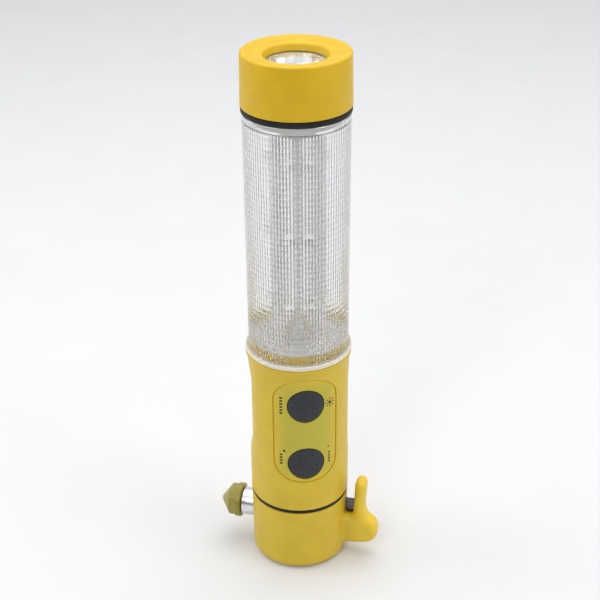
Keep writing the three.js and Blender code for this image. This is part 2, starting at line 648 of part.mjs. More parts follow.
function buildBatteries(parent) {
  parent.add(
    piece('battery_cartridge', cartridgeGeometry(), 'blackPlastic'),
    piece('battery_sleeve', batterySleeveGeometry(), 'whitePlastic'),
  );
  for (const number of [0, 1, 2]) {
    parent.add(
      piece(`battery_${number + 1}`, cellGeometry(number), 'cellWrap'),
      piece(`battery_${number + 1}_spring`, cellSpringGeometry(number), 'steel'),
    );
  }
  const boardBottom = SLEEVE.top - SLEEVE.roof - CONTACT_BOARD_THICKNESS - 0.2;
  const boardTop = boardBottom + CONTACT_BOARD_THICKNESS;
  const boardRadius = SLEEVE.inner - GAP;
  const boardHole = 1.5;
  const ringBottom = CARTRIDGE.top + 0.1;
  const ringTop = ringBottom + CONTACT_RING.thickness;
  parent.add(
    piece('contact_board', turned([
      [boardHole, boardBottom], [boardRadius, boardBottom], [boardRadius, boardTop], [boardHole, boardTop],
    ], 30), 'circuitBoard'),
    piece('contact_ring', turned([
      [CONTACT_RING.inner, ringBottom], [CONTACT_RING.outer, ringBottom],
      [CONTACT_RING.outer, ringTop], [CONTACT_RING.inner, ringTop],
    ], SMALL_ROUND), 'brass'),
    piece('contact_spring', coilSpring({
      bottom: CARTRIDGE.top + 0.1, top: boardBottom - 0.1,
      wideRadius: 4.4, narrowRadius: 2.6, wire: 0.3, turns: 2, stepsPerTurn: 8,
    }), 'brass'),
  );
}

// ---------------------------------------------------------------- wires

function buildWires(parent) {
  const boardEdge = SWITCH_BOARD.back - 0.9;
  const contactTop = SLEEVE.top + 0.7;
  const columnFoot = COLUMN.footTop + 4;
  parent.add(
    piece('battery_wire_red', wireThrough([
      [6, 3, contactTop], [9, 4, 84], [boardEdge - 0.6, 5, 88], [boardEdge, 5, 92],
    ], WIRE_RADIUS, 14), 'redWire'),
    piece('battery_wire_black', wireThrough([
      [6, -3, contactTop], [9, -4, 84], [boardEdge - 0.6, -5, 88], [boardEdge, -5, 92],
    ], WIRE_RADIUS, 14), 'blackWire'),
    piece('strobe_wire', wireThrough([
      [boardEdge, 1.6, 95], [9, 1.6, 97.5], [2.4, 1.2, 100], [0.9, 0.9, columnFoot],
    ], WIRE_RADIUS, 14), 'whiteWire'),
    piece('torch_wire', wireThrough([
      [boardEdge, -1.6, 95], [9, -1.6, 97.5], [2.4, -1.2, 100], [-0.7, -0.9, columnFoot],
      [-0.7, -0.9, 160], [-0.7, -0.9, 209],
    ], WIRE_RADIUS, 24), 'redWire'),
  );
}

function buildHandle() {
  const handle = new THREE.Group();
  handle.rotation.z = HANDLE_AZIMUTH;
  handle.add(
    piece('handle_shell', handleShellGeometry(), 'yellow'),
    piece('switch_overlay', switchOverlayGeometry(), 'panelYellow'),
    piece('switch_board', switchBoardGeometry(), 'circuitBoard'),
    piece('controller_chip', controllerChipGeometry(), 'blackPlastic'),
    piece('board_screw_left', boardScrewGeometry(-1), 'steel'),
    piece('board_screw_right', boardScrewGeometry(1), 'steel'),
  );
  for (const [name, height] of Object.entries(BUTTON_HEIGHTS)) {
    handle.add(
      piece(`${name}_button`, buttonGeometry(height), 'buttonRubber'),
      piece(`${name}_switch`, switchCaseGeometry(height), 'blackPlastic'),
      piece(`${name}_switch_plunger`, switchPlungerGeometry(height), 'whitePlastic'),
    );
  }
  buildBatteries(handle);
  buildWires(handle);
  return handle;
}

// ---------------------------------------------------------------- strobe tube and its column

function tubeGeometry() {
  const seat = UPPER_SPIGOT.outer + GAP;
  return turned([
    [seat, TUBE.bottom],
    [FLANGE_RADIUS - 0.3, TUBE.bottom],
    [FLANGE_RADIUS, TUBE.bottom + 0.3],
    [FLANGE_RADIUS, TUBE.flangeTop - 0.6],
    [FLANGE_RADIUS - 0.6, TUBE.flangeTop],
    [TUBE.lowRadius, TUBE.flangeTop],
    [TUBE.highRadius, TUBE.top],
    [NECK.outer, TUBE.top],
    [NECK.outer, NECK.top],
    [NECK.inner, NECK.top],
    [NECK.inner, TUBE.top - 2.6],
    [TUBE.highRadius - TUBE.wall, TUBE.top - 3.6],
    [seat, UPPER_SPIGOT.top + 2],
  ]);
}

function triangle(side) {
  const radius = side / Math.sqrt(3);
  const corners = [1, 3, 5].map((third) => {
    const angle = (third * Math.PI) / 3;
    return new THREE.Vector2(radius * Math.cos(angle), radius * Math.sin(angle));
  });
  return new THREE.Shape(corners);
}

/** Hollow three-sided column on a round foot, one flat side towards the front. */
function columnGeometry() {
  const outline = triangle(COLUMN.side);
  outline.holes.push(triangle(COLUMN.hollowSide));
  const shaft = new THREE.ExtrudeGeometry(outline, {
    depth: COLUMN.top - COLUMN.foot - 0.5, bevelEnabled: false,
  }).translate(0, 0, COLUMN.foot + 0.5);
  const footRadius = UPPER_SPIGOT.inner - GAP;
  const foot = turned([
    [0, COLUMN.foot], [footRadius, COLUMN.foot], [footRadius, COLUMN.footTop], [0, COLUMN.footTop],
  ], 30);
  const opening = new THREE.ExtrudeGeometry(triangle(COLUMN.hollowSide), {
    depth: 4, bevelEnabled: false,
  }).translate(0, 0, COLUMN.foot - 1);
  return cut(join(foot, shaft), opening);
}

function buildStrobe(parent) {
  parent.add(piece('strobe_column', columnGeometry(), 'whitePlastic'));
  const faceDistance = COLUMN.side / (2 * Math.sqrt(3)) + GAP;
  const { width, thickness, bottom, top } = STROBE_BOARD;
  for (const face of [0, 1, 2]) {
    const side = new THREE.Group();
    side.rotation.z = (2 * Math.PI * face) / 3;
    const board = new THREE.BoxGeometry(thickness, width, top - bottom);
    const boardMesh = piece(`strobe_board_${face + 1}`, board, 'whiteBoard');
    boardMesh.position.set(faceDistance + thickness / 2, 0, (bottom + top) / 2);
    side.add(boardMesh);
    for (let led = 0; led < STROBE_LEDS_PER_BOARD; led += 1) {
      const name = `strobe_led_${face + 1}_${led + 1}`;
      const ledMesh = piece(name, turnedAboutX(ledProfile(STROBE_LED), 12), 'ledClear');
      const step = (top - bottom) / STROBE_LEDS_PER_BOARD;
      ledMesh.position.set(faceDistance + thickness + 0.1, 0, bottom + step * (led + 0.5));
      side.add(ledMesh);
    }
    parent.add(side);
  }
}

/** Section of a surface LED and its clear dome: radius against distance from its seat. */
function ledProfile({ baseRadius, baseThickness, domeRadius }, seat = 0) {
  const base = seat + baseThickness;
  const dome = arc(0, base, domeRadius, 0, 90, 3).slice(1, -1);
  return [
    [0, seat], [baseRadius, seat], [baseRadius, base], [domeRadius, base],
    ...dome, [0, base + domeRadius],
  ];
}

function buildTube() {
  const tube = new THREE.Group();
  tube.rotation.z = HANDLE_AZIMUTH;
  tube.add(piece('strobe_tube', tubeGeometry(), 'clear'));
  buildStrobe(tube);
  return tube;
}

// ---------------------------------------------------------------- torch head

function headCapGeometry() {
  const { bottom, lowRadius, highRadius, top, fillet, bore } = HEAD;
  return turned([
    [bore, bottom],
    [lowRadius - 0.4, bottom],
    [lowRadius, bottom + 0.4],
    ...arc(highRadius - fillet, top - fillet, fillet, 0, 90, 3),
    [MOUTH.dishRadius, MOUTH.dishTop],
    ...arc(MOUTH.lipRadius + MOUTH.lipFillet, MOUTH.lipTop - MOUTH.lipFillet, MOUTH.lipFillet, 90, 180, 3),
    [MOUTH.throat, LENS_POCKET.top],
    [LENS_POCKET.radius, LENS_POCKET.top],
    [LENS_POCKET.radius, HEAD_BORE_TOP],
    [bore, HEAD_BORE_TOP],
  ]);
}

/** Parabolic cup with a flat rim, open at both ends. */
function reflectorGeometry() {
  const { rim, throat, bottom, top, wall, flange } = REFLECTOR;
  const slope = (rim ** 2 - throat ** 2) / (top - bottom);
  const steps = 4;
  const inside = Array.from({ length: steps + 1 }, (_, step) => {
    const height = bottom + ((top - bottom) * step) / steps;
    return [Math.sqrt(throat ** 2 + slope * (height - bottom)), height];
  });
  const outside = inside.map(([radius, height]) => [radius + wall, height - wall / 2]).reverse();
  const flangeTop = top + wall - 0.1;
  return turned([...inside, [rim, flangeTop], [flange, flangeTop], [flange, top - 0.2], ...outside]);
}

function ledHolderGeometry() {
  const { bore, step, stepRadius } = LED_HOLDER;
  return turned([
    [bore, COLUMN.top + GAP],
    [NECK.inner - 0.4, COLUMN.top + GAP],
    [NECK.inner - 0.4, step],
    [stepRadius, step],
    [stepRadius, LED_SEAT],
    [bore, LED_SEAT],
  ], 30);
}

function buildHead() {
  const head = new THREE.Group();
  head.rotation.z = HANDLE_AZIMUTH;
  const ledBoardTop = LED_SEAT + 0.1 + LED_BOARD.thickness;
  head.add(
    piece('head_seal', ring(HEAD_SEAL), 'sealRubber'),
    piece('head_cap', headCapGeometry(), 'yellow'),
    piece('torch_reflector', reflectorGeometry(), 'chrome'),
    piece('torch_lens', turned([
      [0, LENS.bottom], [LENS.radius, LENS.bottom], [LENS.radius, LENS.top], [0, LENS.top],
    ], 30), 'clear'),
    piece('led_holder', ledHolderGeometry(), 'whitePlastic'),
    piece('led_board', turned([
      [0, LED_SEAT + 0.1], [LED_BOARD.radius, LED_SEAT + 0.1],
      [LED_BOARD.radius, ledBoardTop], [0, ledBoardTop],
    ], SMALL_ROUND), 'whiteBoard'),
    piece('torch_led', turned(ledProfile(TORCH_LED, ledBoardTop + 0.2), SMALL_ROUND), 'ledClear'),
  );
  return head;
}

// ---------------------------------------------------------------- the flare

const flare = new THREE.Group();
flare.add(buildBase(), buildHandle(), buildTube(), buildHead());

export default flare;
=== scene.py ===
"""Looks of the LED safety flare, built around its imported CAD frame.

Lengths in this script are millimetres in the frame's own axes; each mesh is scaled to metres when it is
made. The flare stands on Z = 0, the belt cutter points along +X and the hammer along -X.
"""
import json
import math

import bpy
import numpy as np
from mathutils import Matrix, Vector


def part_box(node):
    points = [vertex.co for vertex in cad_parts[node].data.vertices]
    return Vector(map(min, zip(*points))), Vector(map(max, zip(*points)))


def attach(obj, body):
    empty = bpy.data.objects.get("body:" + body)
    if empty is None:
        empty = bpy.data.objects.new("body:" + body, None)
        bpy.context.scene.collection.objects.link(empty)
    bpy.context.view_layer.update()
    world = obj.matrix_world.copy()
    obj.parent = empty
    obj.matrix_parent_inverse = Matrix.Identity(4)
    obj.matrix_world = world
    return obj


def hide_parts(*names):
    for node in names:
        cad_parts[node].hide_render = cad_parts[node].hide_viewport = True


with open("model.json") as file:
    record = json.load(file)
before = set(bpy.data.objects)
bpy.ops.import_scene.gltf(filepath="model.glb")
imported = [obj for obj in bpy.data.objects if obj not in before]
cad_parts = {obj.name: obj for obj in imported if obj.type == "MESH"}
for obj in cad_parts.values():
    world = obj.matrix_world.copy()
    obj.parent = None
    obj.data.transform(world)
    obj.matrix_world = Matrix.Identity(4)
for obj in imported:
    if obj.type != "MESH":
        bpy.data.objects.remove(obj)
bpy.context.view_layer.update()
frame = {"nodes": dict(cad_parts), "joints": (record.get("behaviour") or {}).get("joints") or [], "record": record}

MM = 0.001


# ---- places from the frame

def mm_box(node):
    """Lowest and highest corner of a CAD node, in millimetres."""
    low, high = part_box(node)
    return np.array(low) / MM, np.array(high) / MM


def top_of(node):
    return mm_box(node)[1][2]


def bottom_of(node):
    return mm_box(node)[0][2]


def radius_of(node):
    low, high = mm_box(node)
    return (high[1] - low[1]) / 2


def press_direction():
    """Unit vector that the push buttons face, from the frame's press joint."""
    joint = next(j for j in frame["joints"] if j["name"] == "light_press")
    return -np.array(joint["axis"], float)


FRONT = press_direction()
FRONT_AZIMUTH = math.atan2(FRONT[1], FRONT[0])
BUTTON_HEIGHTS = {
    name: (bottom_of(name) + top_of(name)) / 2 for name in ("light_button", "strobe_button")
}
SEAL_BOTTOM, SEAL_TOP = bottom_of("base_seal"), top_of("base_seal")
BASE_TOP = SEAL_BOTTOM - 0.2
HANDLE_BOTTOM = SEAL_TOP + 0.2
FLANGE_RADIUS = radius_of("handle_shell")
TUBE_BOTTOM = bottom_of("strobe_tube")
TUBE_FLANGE_TOP = TUBE_BOTTOM + 1.9
FLANGE_TOP = TUBE_BOTTOM - 0.3
TUBE_SHOULDER = bottom_of("head_seal") - 0.1
HEAD_BOTTOM, HEAD_TOP = bottom_of("head_cap"), top_of("head_cap")
PANEL_BOTTOM, PANEL_TOP = bottom_of("switch_overlay"), top_of("switch_overlay")
NECK_TOP = top_of("strobe_tube")
HAMMER_HEIGHT = (bottom_of("hammer_shaft") + top_of("hammer_shaft")) / 2

# Radii and heights that the frame's boxes don't give
FOOT_RADIUS, BASE_TOP_RADIUS, BASE_BORE = 21.1, 21.5, 19.4
HANDLE_RADIUS, HANDLE_BORE = 21.55, 19.3
LOWER_SPIGOT_BOTTOM, LOWER_SPIGOT_OUTER, LOWER_SPIGOT_INNER = 25.6, 18.9, 17.2
UPPER_SPIGOT_TOP, UPPER_SPIGOT_OUTER, UPPER_SPIGOT_INNER = 108.5, 18.7, 16.9
PANEL_FLOOR, PANEL_FACE = 20.95, 21.2  # radii of the recess's floor and the film's face
BUTTON_RADIUS, BUTTON_HOLE = 7.7, 8.0
THREAD_PITCH = 3.0  # rise of both screw joints in one turn
TUBE_LOW_RADIUS, TUBE_HIGH_RADIUS, TUBE_WALL = 21.15, 21.4, 2.0
NECK_OUTER, NECK_INNER = 19.3, 17.4
HAMMER_CONE_START = 32.3  # distance from the axis where the hammer's point begins to taper
REFLECTOR_RIM = 11.3  # inner radius of the mirror at its top


# ---- outlines and mesh makers

def rounded(corners, closed=False, steps=5):
    """Outline through (x, y, fillet) corners, each turned on an arc of its fillet radius."""
    points = []
    count = len(corners)
    for i, (x, y, fillet) in enumerate(corners):
        here = np.array([x, y], float)
        if fillet <= 0 or (not closed and i in (0, count - 1)):
            points.append(here)
            continue
        back = np.array(corners[i - 1][:2], float) - here
        ahead = np.array(corners[(i + 1) % count][:2], float) - here
        back_length, ahead_length = np.linalg.norm(back), np.linalg.norm(ahead)
        back, ahead = back / back_length, ahead / ahead_length
        half_angle = math.acos(np.clip(back @ ahead, -1, 1)) / 2
        reach = min(fillet / math.tan(half_angle), 0.49 * back_length, 0.49 * ahead_length)
        radius = reach * math.tan(half_angle)
        bisector = (back + ahead) / np.linalg.norm(back + ahead)
        centre = here + bisector * radius / math.sin(half_angle)
        start, end = here + back * reach - centre, here + ahead * reach - centre
        sweep = math.atan2(start[0] * end[1] - start[1] * end[0], start @ end)
        for step in range(steps + 1):
            turn = sweep * step / steps
            cos, sin = math.cos(turn), math.sin(turn)
            points.append(centre + [start[0] * cos - start[1] * sin, start[0] * sin + start[1] * cos])
    return np.array(points)


def full_turn(count):
    """Azimuths all the way round."""
    return 2 * math.pi * np.arange(count) / count


def bezier(start, control_1, control_2, end, steps=8):
    """Points of a cubic curve, without its start point."""
    t = (np.arange(1, steps + 1) / steps)[:, None]
    start, control_1, control_2, end = map(np.array, (start, control_1, control_2, end))
    return ((1 - t) ** 3 * start + 3 * (1 - t) ** 2 * t * control_1
            + 3 * (1 - t) * t ** 2 * control_2 + t ** 3 * end)


def new_mesh(name, points, faces):
    mesh = bpy.data.meshes.new(name)
    mesh.from_pydata(np.asarray(points).tolist(), [], [list(face) for face in faces])
    return mesh


def new_object(name, data):
    made = bpy.data.objects.new(name, data)
    bpy.context.scene.collection.objects.link(made)
    return made


def add_piece(name, points, faces, body, slot, node=None, finish=None, sharp_angle=38):
    """Makes a piece that rides on a body and takes the place of a CAD node, if one is given.

    Edges are sharp where faces meet at more than sharp_angle. The slot gives the usual finish.
    """
    mesh = new_mesh(name, np.asarray(points, float) * MM, faces)
    mesh.validate()
    mesh.shade_smooth()
    mesh.set_sharp_from_angle(angle=math.radians(sharp_angle))
    mesh.materials.append(finish or FINISHES[slot])
    piece = new_object(name, mesh)
    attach(piece, body)
    if node:
        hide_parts(node)
    return piece


def ring_faces(rows, columns, closed):
    """Quads of a grid whose columns go all the way round; closed joins the last row to the first."""
    last = rows if closed else rows - 1
    row = np.arange(last)[:, None]
    column = np.arange(columns)[None, :]
    after_row, after_column = (row + 1) % rows, (column + 1) % columns
    corners = [row * columns + column, row * columns + after_column,
               after_row * columns + after_column, after_row * columns + column]
    return np.stack(np.broadcast_arrays(*corners), -1).reshape(-1, 4)


def capped_faces(rows, columns):
    """Faces of a round grid closed by two poles, whose points come after the grid's."""
    faces = [list(face) for face in ring_faces(rows, columns, False)]
    last_row, first_pole = (rows - 1) * columns, rows * columns
    for column in range(columns):
        after = (column + 1) % columns
        faces.append([first_pole, after, column])
        faces.append([last_row + column, last_row + after, first_pole + 1])
    return faces


def wall_points(radius, heights, azimuth):
    """Points of a wall given by its radius at every height and azimuth."""
    z = np.broadcast_to(np.asarray(heights)[:, None], radius.shape)
    return np.stack([radius * np.cos(azimuth), radius * np.sin(azimuth), z], -1).reshape(-1, 3)


def grid_round(profile, azimuth):
    """Points of a (radius, height) profile repeated at every azimuth."""
    radius = np.repeat(profile[:, :1], len(azimuth), axis=1)
    return wall_points(radius, profile[:, 1], azimuth)


def revolve(profile, columns=160):
    """Points and faces of a closed (radius, height) profile turned about Z, counter-clockwise."""
    profile = np.asarray(profile, float)
    area = 0.5 * np.sum(profile[:, 0] * np.roll(profile[:, 1], -1)
                        - np.roll(profile[:, 0], -1) * profile[:, 1])
    if area < 0:
        profile = profile[::-1]
    angle = full_turn(columns)
    on_axis = profile[:, 0] < 1e-6
    if not on_axis.any():
        points = grid_round(profile, angle)
        return points, ring_faces(len(profile), columns, True)
    first = int(np.where(on_axis & ~np.roll(on_axis, -1))[0][0])
    profile = np.roll(profile, -first, axis=0)
    last = int(np.where(profile[:, 0] > 1e-6)[0][-1]) + 1
    body = profile[1:last]
    poles = [[0, 0, profile[0, 1]], [0, 0, profile[last % len(profile), 1]]]
    return np.vstack([grid_round(body, angle), poles]), capped_faces(len(body), columns)


def to_front(points):
    """Points made facing +X, turned about Z to the side of the switch panel."""
    cos, sin = math.cos(FRONT_AZIMUTH), math.sin(FRONT_AZIMUTH)
    x, y, z = np.asarray(points, float).T
    return np.stack([x * cos - y * sin, x * sin + y * cos, z], -1)


def lay_along_x(points, height):
    """Points made about Z, laid down so that their height runs along -X."""
    x, y, z = np.asarray(points, float).T
    return np.stack([-z, y, x + height], -1)


def add_turned(name, section, body, slot, node, finish=None, columns=160, height=None):
    """Makes a piece from a section turned about Z, and lays it along X if a height is given."""
    points, faces = revolve(section, columns)
    if height is not None:
        points = lay_along_x(points, height)
    add_piece(name, points, faces, body, slot, node, finish)


# ---- surfaces from distance fields

def outline_distance(points, outline):
    """Signed distance from 2D points to a closed outline, negative inside."""
    best = np.full(len(points), np.inf)
    inside = np.zeros(len(points), bool)
    for a, b in zip(outline, np.roll(outline, -1, axis=0)):
        edge = b - a
        length = edge @ edge
        if length < 1e-12:
            continue
        offset = points - a
        along = np.clip(offset @ edge / length, 0, 1)
        gap = offset - along[:, None] * edge
        best = np.minimum(best, np.einsum("ij,ij->i", gap, gap))
        crosses = (a[1] > points[:, 1]) != (b[1] > points[:, 1])
        if a[1] != b[1]:
            crossing = a[0] + (points[:, 1] - a[1]) * edge[0] / edge[1]
            inside ^= crosses & (points[:, 0] < crossing)
    return np.where(inside, -1, 1) * np.sqrt(best)


def smooth_union(a, b, reach):
    """Distance to two shapes joined with a fillet."""
    blend = np.clip(0.5 + 0.5 * (b - a) / reach, 0, 1)
    return b * (1 - blend) + a * blend - reach * blend * (1 - blend)


def slope_of(field, points, step=0.02):
    """Gradient of a field at each point."""
    gradient = np.empty_like(points)
    for axis in range(3):
        shift = np.zeros(3)
        shift[axis] = step
        gradient[:, axis] = (field(points + shift) - field(points - shift)) / (2 * step)
    return gradient


def surface_net(field, low, high, step, relaxations=2):
    """Quad mesh of the surface where field is zero, relaxed and moved exactly onto it."""
    axes = [np.arange(a, b + step, step) for a, b in zip(low, high)]
    grid = np.stack(np.meshgrid(*axes, indexing="ij"), -1)
    shape = grid.shape[:3]
    values = field(grid.reshape(-1, 3)).reshape(shape)
    inside = values < 0
    corner_sum = np.zeros([n - 1 for n in shape], int)
    for dx in (0, 1):
        for dy in (0, 1):
            for dz in (0, 1):
                corner_sum += inside[dx:shape[0] - 1 + dx, dy:shape[1] - 1 + dy, dz:shape[2] - 1 + dz]
    mixed = (corner_sum > 0) & (corner_sum < 8)
    number = np.full(mixed.shape, -1)
    number[mixed] = np.arange(mixed.sum())
    cells = np.argwhere(mixed)
    points = (cells + 0.5) * step + np.array(low)
    faces = []
    for axis in range(3):
        second, third = (axis + 1) % 3, (axis + 2) % 3
        before = np.take(inside, range(shape[axis] - 1), axis)
        after = np.take(inside, range(1, shape[axis]), axis)
        for leaving in (True, False):
            edge = np.argwhere((before & ~after) if leaving else (~before & after))
            keep = (edge[:, second] > 0) & (edge[:, third] > 0)
            keep &= (edge[:, second] < shape[second] - 1) & (edge[:, third] < shape[third] - 1)
            edge = edge[keep]
            corners = []
            for back_second, back_third in ((1, 1), (0, 1), (0, 0), (1, 0)):
                cell = edge.copy()
                cell[:, second] -= back_second
                cell[:, third] -= back_third
                corners.append(number[tuple(cell.T)])
            quads = np.stack(corners, -1)
            faces.append(quads if leaving else quads[:, ::-1])
    faces = np.concatenate(faces)
    points = settle(field, points, step)
    for _ in range(relaxations):
        points = settle(field, relax(points, faces), step)
    return points, faces


def settle(field, points, step):
    """Moves points along the field's slope until they lie on its zero surface."""
    for _ in range(3):
        value = field(points)
        gradient = slope_of(field, points)
        size = np.maximum(np.einsum("ij,ij->i", gradient, gradient), 0.05)
        move = (value / size)[:, None] * gradient
        length = np.maximum(np.linalg.norm(move, axis=1), 1e-9)
        points = points - move * np.minimum(1, 0.6 * step / length)[:, None]
    return points


def relax(points, faces):
    """Moves every point half-way to the middle of the points that it shares an edge with."""
    total = np.zeros_like(points)
    count = np.zeros(len(points))
    for a, b in ((0, 1), (1, 2), (2, 3), (3, 0)):
        for one, other in ((faces[:, a], faces[:, b]), (faces[:, b], faces[:, a])):
            np.add.at(total, one, points[other])
            np.add.at(count, one, 1)
    return 0.5 * points + 0.5 * total / np.maximum(count, 1)[:, None]


# ---- material nodes

def srgb(red, green, blue):
    """Linear colour of an 8-bit sRGB triple."""
    return tuple(
        (c / 12.92 if c <= 0.04045 else ((c + 0.055) / 1.055) ** 2.4)
        for c in (red / 255, green / 255, blue / 255)
    ) + (1.0,)


PLASTIC_IOR, ACRYLIC_IOR = 1.45, 1.49


class Nodes:
    """The node tree of a new material or world, with short ways to add the nodes used here."""

    def __init__(self, name, kind=bpy.data.materials, shader="Principled BSDF"):
        self.owner = kind.new(name)
        self.owner.use_nodes = True
        self.tree = self.owner.node_tree
        self.shader = self.tree.nodes[shader]

    def add(self, kind, **settings):
        node = self.tree.nodes.new(kind)
        for key, value in settings.items():
            setattr(node, key, value)
        return node

    def link(self, source, target):
        self.tree.links.new(source, target)

    def feed(self, socket, value):
        """Links a node's output to a socket, or sets the socket to a number or colour."""
        if isinstance(value, bpy.types.NodeSocket):
            self.link(value, socket)
        else:
            socket.default_value = value

    def put(self, **values):
        """Feeds the shader's inputs, with spaces in their names written as underscores."""
        for key, value in values.items():
            self.feed(self.shader.inputs[key.replace("_", " ")], value)

    def position(self, stretch=(1, 1, 1)):
        """Object coordinates in millimetres, stretched along each axis."""
        coordinates = self.add("ShaderNodeTexCoord")
        mapping = self.add("ShaderNodeMapping")
        mapping.inputs["Scale"].default_value = [s / MM for s in stretch]
        self.link(coordinates.outputs["Object"], mapping.inputs["Vector"])
        return mapping.outputs["Vector"]

    def noise(self, size_mm, detail=3.0, roughness=0.5, stretch=(1, 1, 1)):
        node = self.add("ShaderNodeTexNoise")
        node.inputs["Scale"].default_value = 1 / size_mm
        node.inputs["Detail"].default_value = detail
        node.inputs["Roughness"].default_value = roughness
        self.link(self.position(stretch), node.inputs["Vector"])
        return node.outputs["Fac"]

    def spread(self, socket, low, high, from_low=0.3, from_high=0.7, shape="LINEAR"):
        """Number from low to high as the socket goes from from_low to from_high."""
        node = self.add("ShaderNodeMapRange", interpolation_type=shape)
        limits = {"From Min": from_low, "From Max": from_high, "To Min": low, "To Max": high}
        for key, value in limits.items():
            node.inputs[key].default_value = value
        self.link(socket, node.inputs["Value"])
        return node.outputs["Result"]

    def mix(self, factor, first, second, kind="RGBA"):
        """Colour between first and second, or a number if the kind is FLOAT."""
        node = self.add("ShaderNodeMix", data_type=kind)
        for key, value in (("Factor", factor), ("A", first), ("B", second)):
            self.feed(next(s for s in node.inputs if s.name == key and s.enabled), value)
        return next(s for s in node.outputs if s.enabled)

    def compute(self, operation, *values):
        """Result of a maths node for one or two numbers or sockets."""
        node = self.add("ShaderNodeMath", operation=operation)
        for socket, value in zip(node.inputs, values):
            self.feed(socket, value)
        return node.outputs["Value"]

    def axis(self, name):
        """One object coordinate, in millimetres."""
        axes = self.add("ShaderNodeSeparateXYZ")
        self.link(self.position(), axes.inputs["Vector"])
        return axes.outputs[name]

    def radius(self):
        """Distance from the Z axis, in millimetres."""
        length = self.add("ShaderNodeVectorMath", operation="LENGTH")
        self.link(self.position((1, 1, 0)), length.inputs[0])
        return length.outputs["Value"]

    def bump(self, *layers):
        """Bump from (height socket, depth in mm) layers, each on top of the one before."""
        normal = None
        for height, depth in layers:
            node = self.add("ShaderNodeBump")
            node.inputs["Strength"].default_value = 1.0
            node.inputs["Distance"].default_value = depth * MM
            self.link(height, node.inputs["Height"])
            if normal is not None:
                self.link(normal, node.inputs["Normal"])
            normal = node.outputs["Normal"]
        self.link(normal, self.shader.inputs["Normal"])


def moulded_plastic(name, colour, shade, roughness=0.4, grain_mm=0.25, grain_depth=0.006, tint=None,
                    glow=0.06, glow_mm=0.6):
    """Injection-moulded plastic: clouded colour, fine spark-eroded grain and a few faint scuffs.

    The tint, if given, makes a colour from the node tree and the clouded base colour.
    """
    n = Nodes(name)
    cloud_mm, speck_mm, scuff_mm, sink_mm, sink_depth = 9, 0.5, 1.2, 5, 0.02
    base = n.mix(n.spread(n.noise(cloud_mm, 2), 0, 1), colour, shade)
    if tint:
        base = tint(n, base)
    speck = n.spread(n.noise(speck_mm, 4), 0, 0.1, 0.45, 0.75)
    scuff = n.noise(scuff_mm, 6, 0.7, stretch=(1, 1, 0.15))
    n.put(Base_Color=n.mix(speck, base, shade))
    n.put(Roughness=n.spread(scuff, roughness - 0.05, roughness + 0.08), IOR=PLASTIC_IOR)
    n.put(Subsurface_Weight=glow, Subsurface_Scale=glow_mm * MM, Subsurface_Radius=(1.0, 0.6, 0.15))
    n.bump((n.noise(grain_mm, 2), grain_depth), (n.noise(sink_mm, 1), sink_depth))
    return n.owner


def rubber(name, colour, shade, roughness=0.62, grain_mm=0.18, grain_depth=0.012):
    """Moulded rubber: charcoal with a matt grain and a dusting that lightens it in patches."""
    n = Nodes(name)
    dust_mm, wear_mm = 2.2, 0.8
    n.put(Base_Color=n.mix(n.spread(n.noise(dust_mm, 5, 0.65), 0, 1, 0.4, 0.7), colour, shade))
    n.put(Roughness=n.spread(n.noise(wear_mm, 4), roughness - 0.08, roughness + 0.1))
    n.put(IOR=1.5, Specular_IOR_Level=0.35)
    n.bump((n.noise(grain_mm, 3), grain_depth))
    return n.owner


def flow_lines(n):
    """Bump for the faint upright flow lines in the skin of clear plastic."""
    n.bump((n.noise(4, 2, stretch=(1, 1, 0.4)), 0.01))


def clear_plastic(name, tint=(0.97, 0.98, 0.98, 1), roughness=0.02, ior=1.5):
    """Clear moulded plastic: refracts, with a slight haze in patches."""
    n = Nodes(name)
    haze_mm = 6
    haze = n.spread(n.noise(haze_mm, 3, stretch=(1, 1, 0.3)), roughness, roughness + 0.05)
    n.put(Base_Color=tint, Transmission_Weight=1.0, Roughness=haze, IOR=ior)
    flow_lines(n)
    return n.owner


def ribbed_tube_plastic(name):
    """Clear tube plastic: polished outside, faintly matt on the ribs inside, frosted on the flange."""
    n = Nodes(name)
    rib_roughness, skin_roughness, frosted_roughness, frosted_transmission = 0.24, 0.03, 0.4, 0.4
    inner, outer = TUBE_LOW_RADIUS - TUBE_WALL + 0.6, TUBE_LOW_RADIUS - 0.4
    ribs_or_skin = n.spread(n.radius(), rib_roughness, skin_roughness, inner, outer)
    flange = n.spread(n.axis("Z"), 1, 0, TUBE_FLANGE_TOP - 0.1, TUBE_FLANGE_TOP + 0.1)
    n.put(Roughness=n.mix(flange, ribs_or_skin, frosted_roughness, "FLOAT"))
    n.put(Transmission_Weight=n.mix(flange, 1.0, frosted_transmission, "FLOAT"), IOR=ACRYLIC_IOR)
    n.put(Base_Color=n.mix(flange, (0.993, 0.995, 0.995, 1), srgb(252, 246, 230)))
    flow_lines(n)
    return n.owner


def tracked_board(name, colour, track, pitch):
    """White-lacquered circuit board with level rows of grey tracks."""
    n = Nodes(name)
    half_pitch, track_depth = pitch / 2, 0.03
    from_row = n.compute("PINGPONG", n.axis("Z"), half_pitch)
    rows = n.spread(from_row, 1, 0, 0.35 * half_pitch, 0.6 * half_pitch)
    n.put(Base_Color=n.mix(rows, colour, track), Roughness=n.spread(n.noise(1, 3), 0.3, 0.42))
    n.bump((rows, track_depth), (n.noise(0.6, 2), 0.01))
    return n.owner


